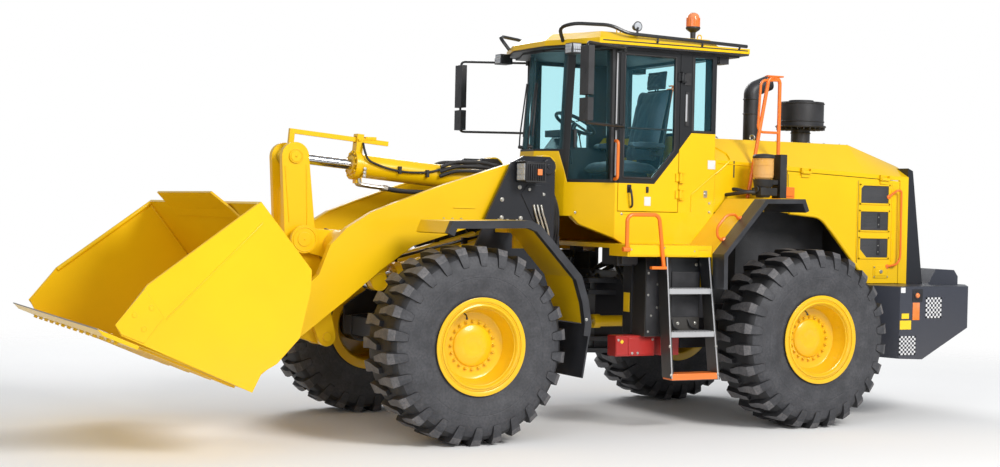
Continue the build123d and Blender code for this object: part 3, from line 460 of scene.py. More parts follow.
def add_bolts(mesh, places, axis, radius, height):
    """Hexagon heads with a washer, standing on a surface along an axis."""
    axis = Vector(axis).normalized()
    for place in places:
        place = Vector(place)
        add_round(mesh, place, place + axis * height * 0.25, radius * 1.35, 14)
        add_round(mesh, place + axis * height * 0.25, place + axis * height, radius, 6)


def add_pipe(mesh, points, radius, bend, segments=10):
    """Round pipe along straight runs joined by arcs."""
    points = [Vector(point) for point in points]
    line = [points[0]]
    for before, corner, after in zip(points, points[1:], points[2:]):
        reach = min(bend, (corner - before).length * 0.45, (after - corner).length * 0.45)
        arrive = corner + (before - corner).normalized() * reach
        leave = corner + (after - corner).normalized() * reach
        for step in range(5):
            share = step / 4
            line.append(arrive * (1 - share) ** 2 + corner * 2 * share * (1 - share) + leave * share ** 2)
    line.append(points[-1])
    side = (line[1] - line[0]).orthogonal().normalized()
    rings = []
    for index, point in enumerate(line):
        ahead = line[min(index + 1, len(line) - 1)] - line[max(index - 1, 0)]
        ahead.normalize()
        side = (side - ahead * side.dot(ahead)).normalized()
        other = ahead.cross(side)
        ring = []
        for turn in range(segments):
            angle = 2 * math.pi * turn / segments
            ring.append(mesh.verts.new(point + (side * math.cos(angle) + other * math.sin(angle)) * radius))
        rings.append(ring)
    for first, second in zip(rings, rings[1:]):
        for turn in range(segments):
            following = (turn + 1) % segments
            mesh.faces.new((first[turn], first[following], second[following], second[turn]))
    mesh.faces.new(rings[0][::-1])
    mesh.faces.new(rings[-1])


# ---------------------------------------------------------------- wheels
axle_z = pivot("front_wheel_spin_left").z
tyre_low, tyre_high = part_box("tyre_front_left")
rim_low, rim_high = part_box("rim_front_left")
flange_radius = (rim_high.z - rim_low.z) / 2
rim_half = (rim_high.y - rim_low.y) / 2
on_axis = 0.0005        # smallest radius of a turned profile, which closes it
rim_margin = 0.0005     # how far the rim stays inside its solid
disc_face, nut_circle, screw_circle = 0.119, 0.192, 0.094
lug_count = 26
tread_radius = axle_z - 0.001
groove_radius = tread_radius - 0.043
seat_radius = 0.333


def carcass_profile():
    """(radius, y) points of the carcass from the outer bead round to the inner bead."""
    half = [(seat_radius, 0.250), (0.352, 0.262), (0.398, 0.272), (0.415, 0.277), (0.430, 0.274),
            (0.470, 0.284), (0.520, 0.2935), (0.545, 0.2952), (0.549, 0.2925), (0.553, 0.2955),
            (0.590, 0.2955), (0.635, 0.291), (0.680, 0.276), (0.715, 0.257), (0.742, 0.232),
            (groove_radius, 0.205), (groove_radius + 0.004, 0.10), (groove_radius + 0.005, 0.0)]
    return half + [(radius, -y) for radius, y in reversed(half[:-1])]


def add_lug(mesh, turn, side):
    """One tread bar, from past the middle of the tread over the shoulder and down the sidewall."""
    # y, radius of the face, and offset and half width round the tyre
    stations = [(-0.032, tread_radius - 0.004, 0.010, 0.020), (0.040, tread_radius, 0.000, 0.028),
                (0.105, tread_radius, -0.012, 0.034), (0.165, tread_radius, -0.012, 0.043),
                (0.232, tread_radius - 0.003, -0.010, 0.045), (0.268, tread_radius - 0.052, -0.009, 0.040),
                (0.2955, 0.672, -0.007, 0.033), (0.2955, 0.640, -0.005, 0.024)]
    rings = []
    for y, radius, offset, half in stations:
        base = min(radius - 0.02, 0.735 if y < 0.24 else radius - 0.03)
        base_y = y if y < 0.24 else y - 0.035
        ring = []
        for along, level, width_y in ((-half - 0.006, base, base_y), (-half, radius, y), (half, radius, y),
                                      (half + 0.006, base, base_y)):
            ring.append(mesh.verts.new(turn @ Vector((offset + along, side * width_y, level))))
        rings.append(ring)
    for index, (first, second) in enumerate(zip(rings, rings[1:])):
        # Lug tops take the lug rubber, or the sidewall rubber down the sidewall; flanks and ends take the
        # near-black groove rubber, which is painted shade.
        for step, material_index in ((0, 2), (1, 1 if index < 5 else 0), (2, 2)):
            face = mesh.faces.new((first[step], first[step + 1], second[step + 1], second[step]))
            face.material_index = material_index
    for ring in (rings[0], rings[-1][::-1]):
        mesh.faces.new(ring).material_index = 2


def build_tyre(name, centre, outward, body):
    mesh = bmesh.new()
    place = Matrix.Translation(centre) @ Matrix.Rotation(0 if outward > 0 else math.pi, 4, "Z")
    profile = carcass_profile()
    # Faces of the tread floor between the lugs take the near-black groove rubber: painted shade between the lugs.
    groove_steps = {step for step, (radius, y) in enumerate(profile[:-1])
                    if radius > 0.73 or profile[step + 1][0] > 0.73}
    add_turned(mesh, profile, 104, place, face_material=lambda step: 2 if step in groove_steps else 0)
    pitch = 2 * math.pi / lug_count
    for index in range(lug_count):
        for side, share in ((1, 0.0), (-1, 0.5)):
            turn = place @ Matrix.Rotation(math.pi + (index + share) * pitch, 4, "Y")
            add_lug(mesh, turn, side)
    for index in range(12):                          # small mould ribs between two rings of the sidewall
        angle = index * math.pi / 6 + 0.2
        turn = place @ Matrix.Rotation(angle, 4, "Y")
        add_box(mesh, (-0.030, 0.2900, 0.566), (0.030, 0.2965, 0.570), turn)
    tyre = finish_piece(name, mesh, [tyre_side, tyre_lug, groove_painted_shade], body, bevel=0.004)
    return tyre


def build_rim(name, centre, outward, body):
    """Five-piece rim: flange, lock ring, gutter, sloping well, disc with nuts and planetary hub."""
    mesh = bmesh.new()
    place = Matrix.Translation(centre) @ Matrix.Rotation(0 if outward > 0 else math.pi, 4, "Z")
    outer = rim_half - rim_margin
    top = flange_radius - rim_margin
    front = [(0.328, 0.240), (0.340, outer - 0.012), (0.372, outer - 0.012), (top, outer - 0.009),
             (top, outer - 0.002), (top - 0.004, outer), (0.372, outer - 0.001), (0.356, outer - 0.007),
             (0.350, outer - 0.018), (0.343, outer - 0.020), (0.338, outer - 0.008), (0.326, outer - 0.004),
             (0.318, outer - 0.010), (0.312, outer - 0.030), (0.305, outer - 0.034), (0.300, 0.230),
             (0.296, 0.205), (0.280, 0.165), (0.268, 0.128), (0.252, 0.1200), (0.205, 0.1190),
             (0.176, 0.1190)]
    hub = [(0.172, 0.1200), (0.168, 0.1290), (0.160, 0.1360), (0.118, 0.1400), (0.112, 0.1425),
           (0.060, 0.1428), (0.054, 0.1405), (0.030, 0.1400), (on_axis, 0.1400)]
    back = [(on_axis, 0.094), (0.285, 0.094), (0.299, 0.080), (0.300, -outer + 0.030),
            (0.318, -outer + 0.006), (0.372, -outer), (top, -outer + 0.003), (top, -outer + 0.010),
            (0.345, -outer + 0.013), (0.328, -0.240)]
    add_turned(mesh, front + hub + back, 72, place, closed=True)
    for index in range(20):                          # wheel nuts on their studs
        turn = place @ Matrix.Rotation(index * math.pi / 10, 4, "Y")
        start = turn @ Vector((0, disc_face, nut_circle))
        end = turn @ Vector((0, 0.137, nut_circle))
        add_round(mesh, start, end, 0.0125, 6)
        add_round(mesh, end, turn @ Vector((0, 0.142, nut_circle)), 0.007, 10)
    for index in range(6):                           # cover screws of the planetary hub
        turn = place @ Matrix.Rotation(index * math.pi / 3 + 0.3, 4, "Y")
        add_round(mesh, turn @ Vector((0, 0.139, screw_circle)), turn @ Vector((0, 0.1428, screw_circle)),
                  0.008, 6)
    rim = finish_piece(name, mesh, yellow_rim, body, smooth=40)
    valve = bmesh.new()
    turn = place @ Matrix.Rotation(0.35, 4, "Y")
    add_pipe(valve, [turn @ Vector((0, 0.150, 0.272)), turn @ Vector((0, 0.190, 0.262)),
                     turn @ Vector((0.02, 0.225, 0.248))], 0.006, 0.02)
    add_round(valve, turn @ Vector((0.02, 0.225, 0.248)), turn @ Vector((0.027, 0.238, 0.243)), 0.009, 12)
    finish_piece(name + "_valve", valve, black_plastic, body)
    return rim


for end_name in ("front", "rear"):
    for side_name, side in sides:
        wheel = f"{end_name}_wheel_{side_name}"
        centre = pivot(f"{end_name}_wheel_spin_{side_name}")
        centre.y = side * (tyre_low.y + tyre_high.y) / 2
        tyre = build_tyre(f"lugged_tyre_{end_name}_{side_name}", centre, side, wheel)
        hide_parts(f"tyre_{end_name}_{side_name}")
        rim = build_rim(f"wheel_rim_{end_name}_{side_name}", centre, side, wheel)
        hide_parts(f"rim_{end_name}_{side_name}")


def left_place(x, y, z):
    return at(x, y, z)


def right_place(x, y, z):
    return at(x, -y, z)


both_places = (left_place, right_place)


def add_ring(mesh, centre, axis, radius, thickness, segments=20, around=8):
    """Round ring about an axis."""
    turn = Vector(axis).to_track_quat("Y", "Z").to_matrix().to_4x4()
    profile = [(radius + thickness * math.cos(2 * math.pi * step / around),
                thickness * math.sin(2 * math.pi * step / around)) for step in range(around)]
    add_turned(mesh, profile, segments, Matrix.Translation(Vector(centre)) @ turn, closed=True)


def add_slab(mesh, outline, z_low, z_high):
    """Outline of points seen from above, between two heights."""
    rings = [[mesh.verts.new((point[0], point[1], z)) for point in outline] for z in (z_low, z_high)]
    mesh.faces.new(rings[0][::-1])
    mesh.faces.new(rings[1])
    for index in range(len(outline)):
        following = (index + 1) % len(outline)
        mesh.faces.new((rings[0][index], rings[0][following], rings[1][following], rings[1][index]))


def add_lamp(mesh, low, high, turned_to="+X"):
    """Square lamp face with a grid of raised lens cells."""
    low, high = Vector(low), Vector(high)
    low, high = (Vector([min(a, b) for a, b in zip(low, high)]),
                 Vector([max(a, b) for a, b in zip(low, high)]))
    add_box(mesh, low, high)
    across, outward = (1, 0) if turned_to[1] == "X" else (0, 1)
    face = high[outward] if turned_to[0] == "+" else low[outward]
    step = 0.004 if turned_to[0] == "+" else -0.004
    for column in range(4):
        for row in range(3):
            corner_low, corner_high = low.copy(), high.copy()
            width = (high[across] - low[across]) / 4
            height = (high.z - low.z) / 3
            corner_low[across] = low[across] + width * (column + 0.12)
            corner_high[across] = low[across] + width * (column + 0.88)
            corner_low.z = low.z + height * (row + 0.12)
            corner_high.z = low.z + height * (row + 0.88)
            corner_low[outward], corner_high[outward] = sorted((face, face + step))
            add_box(mesh, corner_low, corner_high)


# ---------------------------------------------------------------- roof
mesh = bmesh.new()
for place in both_places:
    add_pipe(mesh, [place(0.49, 0.50, 3.36), place(0.56, 0.55, 3.47), place(0.485, 0.68, 3.500),
                    place(0.197, 0.82, 3.492), place(0.06, 0.868, 3.425), place(-1.20, 0.868, 3.395)],
             0.016, 0.07)
    for x in (-0.25, -0.72, -1.12):
        add_pipe(mesh, [place(x, 0.84, 3.360), place(x, 0.872, 3.372), place(x, 0.868, 3.400)],
                 0.009, 0.01, 8)
finish_piece("roof_side_rails", mesh, black_paint, "rear_frame")

mesh = bmesh.new()
outer = [(0.552, 0.296), (0.394, 0.694), (0.326, 0.854), (-1.236, 0.854)]
inner = [(0.470, 0.270), (0.310, 0.640), (0.270, 0.790), (-1.180, 0.790)]
lip = [at(x, y, 0) for x, y in outer] + [at(x, -y, 0) for x, y in reversed(outer)]
add_slab(mesh, lip, 3.314, 3.331)
add_slab(mesh, [at(x, y, 0) for x, y in inner] + [at(x, -y, 0) for x, y in reversed(inner)], 3.296, 3.316)
for place in both_places:
    add_box(mesh, place(-1.22, 0.850, 3.352), place(0.30, 0.863, 3.362))
    add_box(mesh, place(-1.085, 0.62, 3.235), place(-0.985, 0.76, 3.316))
    add_box(mesh, place(-0.985, 0.63, 3.245), place(-0.972, 0.75, 3.306))
    add_box(mesh, place(0.405, 0.592, 3.238), place(0.524, 0.728, 3.296))
    add_pipe(mesh, [place(-0.058, 0.835, 3.41), place(-0.060, 0.835, 3.465), place(-0.085, 0.80, 3.49)],
             0.010, 0.02)
    add_round(mesh, place(-0.089, 0.745, 3.500), place(-0.089, 0.795, 3.503), 0.030, 20, 0.042)
    add_ring(mesh, place(-0.089, 0.795, 3.503), (0, 1, 0), 0.041, 0.004)
finish_piece("roof_gutter_and_lamp_housings", mesh, black_plastic, "rear_frame",
             bevel=0.004)

mesh = bmesh.new()
for place in both_places:
    add_ring(mesh, place(0.048, 0.70, 3.462), (1, 0.4, 0), 0.022, 0.006)
    add_round(mesh, place(0.048, 0.70, 3.425), place(0.048, 0.70, 3.444), 0.012, 12)
    add_ring(mesh, place(-0.80, 0.70, 3.462), (1, 0.4, 0), 0.022, 0.006)
    add_round(mesh, place(-0.80, 0.70, 3.425), place(-0.80, 0.70, 3.444), 0.012, 12)
for y in (-0.48, -0.16, 0.16, 0.48):
    add_box(mesh, at(-0.80, y - 0.012, 3.436), at(0.25, y + 0.012, 3.446))
finish_piece("roof_ribs_and_eyes", mesh, yellow_paint, "rear_frame", bevel=0.004)

mesh = bmesh.new()
for place in both_places:
    add_lamp(mesh, place(0.520, 0.612, 3.246), place(0.526, 0.708, 3.322))
    add_lamp(mesh, place(0.44, 0.720, 3.246), place(0.515, 0.728, 3.322),
             "+Y" if place is left_place else "-Y")
    add_lamp(mesh, place(-1.085, 0.635, 3.245), place(-1.090, 0.745, 3.306), "-X")
    add_round(mesh, place(-0.089, 0.794, 3.503), place(-0.089, 0.800, 3.503), 0.036, 20)
finish_piece("roof_lamp_lenses", mesh, lamp_lens, "rear_frame", bevel=0.001)

upright = Matrix.Rotation(math.pi / 2, 4, "X")
mesh = bmesh.new()
beacon_x, beacon_y = -1.0, 0.3
beacon_place = Matrix.Translation(at(beacon_x, beacon_y, 0)) @ upright
dome = [(on_axis, 3.7395), (0.020, 3.7380), (0.040, 3.7290), (0.053, 3.7120), (0.0585, 3.688),
        (0.0600, 3.660), (0.0615, 3.632), (0.062, 3.606), (on_axis, 3.605)]
add_turned(mesh, dome, 40, beacon_place)
for index in range(20):
    turn = beacon_place @ Matrix.Rotation(index * math.pi / 10, 4, "Y")
    add_box(mesh, (-0.002, 3.612, 0.059), (0.002, 3.690, 0.064), turn)
dome_piece = finish_piece("beacon_dome", mesh, amber_lens, "rear_frame")
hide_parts("beacon")
mesh = bmesh.new()
foot = [(on_axis, 3.608), (0.066, 3.607), (0.0675, 3.600), (0.0675, 3.592), (0.058, 3.578), (0.040, 3.566),
        (0.026, 3.556), (0.0235, 3.50), (0.0235, 3.40), (0.030, 3.388), (0.060, 3.384), (0.062, 3.3755),
        (on_axis, 3.3755)]
add_turned(mesh, foot, 36, beacon_place)
finish_piece("beacon_stem", mesh, black_plastic, "rear_frame")

# ---------------------------------------------------------------- wipers, mirrors and door fittings
cab_side = 0.7715       # outer face of the cab's skin
arm_low, arm_high = 2.62, 3.29
mesh = bmesh.new()
for pivot_y, tip_y in ((-0.085, -0.070), (0.085, 0.100)):
    add_round(mesh, at(0.548, pivot_y, 2.445), at(0.590, pivot_y, 2.450), 0.016, 14)
    add_pipe(mesh, [at(0.585, pivot_y, 2.45), at(0.580, pivot_y, 2.56), at(0.528, tip_y, 3.02)],
             0.007, 0.05, 8)
    add_box(mesh, at(0.004, -0.006, 0.30) - at(0, 0, 0), at(0.016, 0.006, 0.0) - at(0, 0, 0),
            Matrix.Translation(at(0.5285, tip_y, 2.72)) @ Matrix.Rotation(-0.077, 4, "Y"))
    add_box(mesh, at(0.004, -0.006, 0.0) - at(0, 0, 0), at(0.016, 0.006, -0.18) - at(0, 0, 0),
            Matrix.Translation(at(0.5285, tip_y, 2.72)) @ Matrix.Rotation(-0.077, 4, "Y"))
finish_piece("windscreen_wipers", mesh, black_plastic, "rear_frame")

mesh = bmesh.new()
for place in both_places:
    for z_low, z_high in ((2.850, 3.255), (2.635, 2.825)):
        add_box(mesh, place(0.6165, 1.120, z_low), place(0.672, 1.260, z_high))
        add_round(mesh, place(0.672, 1.19, (z_low + z_high) / 2), place(0.6735, 1.19, (z_low + z_high) / 2),
                  0.03)
mirror_shells = finish_piece("mirror_shells", mesh, black_plastic, "rear_frame",
                             bevel=0.018)
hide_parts("mirrors")
mesh = bmesh.new()
for place in both_places:
    add_pipe(mesh, [place(0.09, 0.772, arm_high), place(0.09, 0.90, arm_high), place(0.645, 1.19, arm_high),
                    place(0.645, 1.19, arm_low), place(0.09, 0.90, arm_low), place(0.09, 0.772, arm_low)],
             0.0115, 0.04)
    for z in (arm_low, arm_high):
        add_round(mesh, place(0.09, 0.772, z), place(0.09, 0.785, z), 0.030, 16)
        add_round(mesh, place(0.09, 0.880, z - 0.025), place(0.09, 0.880, z + 0.025), 0.018, 16)
    for z in (2.70, 2.76, 2.95, 3.16):
        add_box(mesh, place(0.628, 1.172, z - 0.012), place(0.662, 1.208, z + 0.012))
finish_piece("mirror_arms", mesh, black_paint, "rear_frame")
mesh = bmesh.new()
for place in both_places:
    for z_low, z_high in ((2.866, 3.239), (2.651, 2.809)):
        add_box(mesh, place(0.6135, 1.132, z_low), place(0.6175, 1.248, z_high))
finish_piece("mirror_glasses", mesh, mirror_glass, "rear_frame", bevel=0.0015)

mesh = bmesh.new()
add_pipe(mesh, [at(-0.046, 0.774, 2.100), at(-0.050, 0.805, 2.085), at(-0.062, 0.812, 2.00),
                at(-0.068, 0.806, 1.94), at(-0.070, 0.774, 1.928)], 0.010, 0.02)
add_box(mesh, at(-0.030, cab_side, 2.055), at(-0.072, 0.779, 2.125))
add_box(mesh, at(-0.225, cab_side, 2.058), at(-0.249, 0.783, 2.112))
add_round(mesh, at(-0.237, 0.782, 2.085), at(-0.237, 0.790, 2.085), 0.009)
finish_piece("door_handle", mesh, black_plastic, "cab_door", bevel=0.003)
mesh = bmesh.new()
add_box(mesh, at(-0.21, cab_side, 1.943), at(-0.277, 0.7740, 2.023))
finish_piece("door_blank_plate", mesh, white_paint, "cab_door", bevel=0.001)
mesh = bmesh.new()
door_seal = [(0.015, 2.185), (0.015, 3.262), (-0.515, 3.262), (-0.515, 2.440), (-0.290, 2.185)]
for index, start in enumerate(door_seal):
    end = door_seal[(index + 1) % len(door_seal)]
    add_round(mesh, at(start[0], 0.768, start[1]), at(end[0], 0.768, end[1]), 0.011, 10)
add_pipe(mesh, [at(-0.03, 0.745, 2.62), at(-0.50, 0.745, 2.62)], 0.009, 0.01, 8)
finish_piece("door_window_seal", mesh, hose_rubber, "cab_door")

mesh = bmesh.new()
for place in both_places:
    add_box(mesh, place(-0.873, cab_side, 2.285), place(-0.955, 0.7740, 2.365))
finish_piece("cab_blank_plates", mesh, white_paint, "rear_frame", bevel=0.001)
mesh = bmesh.new()
for place in both_places:
    add_box(mesh, place(-0.835, cab_side, 2.030), place(-0.872, 0.7765, 2.092))
    add_round(mesh, place(-0.853, 0.776, 2.060), place(-0.853, 0.788, 2.060), 0.014, 18)
    for x, z in ((0.343, 1.872), (-0.90, 1.98), (-0.90, 1.90), (-0.30, 1.868), (0.02, 1.868)):
        add_bolts(mesh, [place(x, cab_side if x < 0.2 else 0.46 + (0.400 - x) * 1.15, z)],
                  (0, 1 if place is left_place else -1, 0), 0.009, 0.008)
finish_piece("cab_bolts_and_locks", mesh, zinc_steel, "rear_frame")
mesh = bmesh.new()
for place in both_places:
    for start, end in (((0.130, 2.150), (0.130, 3.300)), ((-0.700, 2.610), (-0.700, 3.285))):
        add_box(mesh, place(start[0] - 0.014, 0.768, start[1]), place(start[0] + 0.014, 0.777, end[1]))
    add_box(mesh, place(-0.910, 0.7705, 2.606), place(-0.700, 0.7765, 2.622))
    add_box(mesh, place(-0.62, 0.7705, 2.66), place(-0.655, 0.779, 2.96))
    add_box(mesh, place(-0.60, 0.7705, 3.02), place(-0.672, 0.781, 3.13))
finish_piece("cab_window_seals", mesh, hose_rubber, "rear_frame", bevel=0.002)
mesh = bmesh.new()
for place in both_places:
    add_box(mesh, place(0.090, 0.7745, 2.20), place(0.104, 0.7795, 3.28))
    add_box(mesh, place(-0.618, 0.7760, 2.70), place(-0.636, 0.7800, 2.94))
finish_piece("cab_pillar_strips", mesh, silver_paint, "rear_frame", bevel=0.001)
mesh = bmesh.new()
for place in both_places:
    add_pipe(mesh, [place(-0.964, 0.7725, 2.254), place(-0.70, 0.7725, 2.052), place(-0.70, 0.7725, 1.90)],
             0.007, 0.02, 8)
    add_pipe(mesh, [place(-0.975, 0.502, 2.565), place(-1.152, 0.668, 2.435), place(-1.140, 0.748, 2.375),
                    place(-0.975, 0.750, 2.245)], 0.009, 0.03, 8)
    add_pipe(mesh, [place(-1.00, 0.7505, 2.345), place(-1.77, 0.7505, 2.313)], 0.006, 0.02, 8)
finish_piece("pressed_beads", mesh, yellow_paint, "rear_frame")

# ---------------------------------------------------------------- seat and controls
def build_cushion(mesh, place, width, length, thickness, crown, channels, pull=0.05):
    """Crowned closed cushion whose sides pull in between its corners, with sewn channels across it."""
    count = 26
    grids = []
    for level in (0, 1):
        rows = []
        for row in range(count + 1):
            v = 2 * row / count - 1
            line = []
            for column in range(count + 1):
                u = 2 * column / count - 1
                x = u * width / 2 * (1 - pull * (1 - v * v))
                y = v * length / 2 * (1 - pull * (1 - u * u))
                edge = ((1 - abs(u) ** 7) * (1 - abs(v) ** 7)) ** 0.3
                if level:
                    height = thickness * (0.45 + 0.55 * edge) + crown * (1 - u * u) * (1 - v * v)
                    for channel in channels:
                        height -= 0.012 * math.exp(-((v - channel) / 0.035) ** 2) * edge
                    height -= 0.010 * math.exp(-((abs(u) - 0.62) / 0.035) ** 2) * edge
                    height -= 0.0035 * edge * math.sin(9 * u + 4 * v) * math.sin(7 * v)
                else:
                    height = 0.25 * thickness * (1 - edge)
                line.append(mesh.verts.new(place @ Vector((x, y, height))))
            rows.append(line)
        grids.append(rows)
    for rows, flip in ((grids[0], True), (grids[1], False)):
        for row in range(count):
            for column in range(count):
                ring = [rows[row][column], rows[row][column + 1], rows[row + 1][column + 1],
                        rows[row + 1][column]]
                mesh.faces.new(ring[::-1] if flip else ring)
    low, high = grids
    border = ([(0, c) for c in range(count)] + [(r, count) for r in range(count)]
              + [(count, c) for c in range(count, 0, -1)] + [(r, 0) for r in range(count, 0, -1)])
    for index, (row, column) in enumerate(border):
        after_row, after_column = border[(index + 1) % len(border)]
        mesh.faces.new((low[row][column], low[after_row][after_column], high[after_row][after_column],
                        high[row][column]))


def finish_cushion(name, mesh):
    cushion = finish_piece(name, mesh, seat_cloth, "rear_frame", smooth=60)
    softening = cushion.modifiers.new("softened", "SUBSURF")
    softening.levels = 1
    softening.render_levels = 1
    return cushion


mesh = bmesh.new()
build_cushion(mesh, Matrix.Translation(at(-0.43, 0, 2.243)), 0.49, 0.49, 0.088, 0.034, (-0.35, 0.35))
base_cushion = finish_cushion("seat_cushion", mesh)
lean = math.atan2(0.15, 0.69)
back_turn = Matrix.Translation(at(-0.757, 0, 2.685)) @ Matrix.Rotation(math.pi / 2 - lean, 4, "Y")
mesh = bmesh.new()
build_cushion(mesh, back_turn, 0.68, 0.46, 0.092, 0.026, (-0.42, 0.42))
finish_cushion("seat_back_cushion", mesh)
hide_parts("seat")
mesh = bmesh.new()
build_cushion(mesh, Matrix.Translation(at(-0.842, 0, 3.115)) @ Matrix.Rotation(math.pi / 2 - 0.1, 4, "Y"),
              0.17, 0.28, 0.060, 0.020, ())
finish_cushion("headrest_cushion", mesh)
for side_name, side in sides:
    mesh = bmesh.new()
    build_cushion(mesh, Matrix.Translation(at(-0.52, side * 0.305, 2.475)), 0.36, 0.085, 0.045, 0.008, ())
    finish_cushion(f"armrest_{side_name}", mesh)
mesh = bmesh.new()
add_pipe(mesh, [at(-0.80, -0.02, 2.98), at(-0.83, -0.02, 3.10)], 0.008, 0.01)
add_pipe(mesh, [at(-0.80, 0.02, 2.98), at(-0.83, 0.02, 3.10)], 0.008, 0.01)
for side in (-1, 1):
    add_box(mesh, at(-0.71, side * 0.252, 2.40), at(-0.60, side * 0.268, 2.50))
    add_pipe(mesh, [at(-0.66, side * 0.270, 2.45), at(-0.64, side * 0.305, 2.465),
                    at(-0.40, side * 0.305, 2.468)], 0.012, 0.02)
add_plate(mesh, [(at(-0.72, 0, 0).x, 2.29), (at(-0.84, 0, 0).x, 3.03), (at(-0.86, 0, 0).x, 3.03),
                 (at(-0.75, 0, 0).x, 2.25), (at(-0.22, 0, 0).x, 2.222), (at(-0.22, 0, 0).x, 2.245)],
          -0.20, 0.20)
for level in range(5):
    add_box(mesh, at(-0.59, -0.185, 2.08 + level * 0.030), at(-0.26, 0.185, 2.095 + level * 0.030))
finish_piece("seat_shell_and_bellows", mesh, black_plastic, "rear_frame", bevel=0.004)

mesh = bmesh.new()
for x, y in ((-0.20, -0.40), (-0.27, -0.44), (-0.20, -0.47)):
    add_pipe(mesh, [at(x, y, 2.47), at(x + 0.02, y, 2.56), at(x + 0.025, y, 2.60)], 0.007, 0.02, 8)
    add_round(mesh, at(x + 0.025, y, 2.595), at(x + 0.030, y, 2.645), 0.014, 12, 0.019)
add_box(mesh, at(0.33, 0.24, 2.44), at(0.30, 0.46, 2.60))
add_pipe(mesh, [at(0.28, 0.34, 2.30), at(0.31, 0.35, 2.46)], 0.010, 0.02)
add_box(mesh, at(0.215, -0.13, 2.55), at(0.30, 0.13, 2.61))
for y in (-0.22, 0.14, 0.24):
    add_box(mesh, at(0.10, y - 0.035, 1.92), at(0.14, y + 0.035, 2.04))
add_pipe(mesh, [at(0.06, -0.015, 2.70), at(0.03, -0.14, 2.71), at(0.035, -0.17, 2.71)], 0.006, 0.02, 8)
add_pipe(mesh, [at(0.06, 0.015, 2.70), at(0.03, 0.14, 2.71), at(0.035, 0.17, 2.71)], 0.006, 0.02, 8)
finish_piece("cab_levers_pedals_screen", mesh, black_plastic, "rear_frame", bevel=0.004)

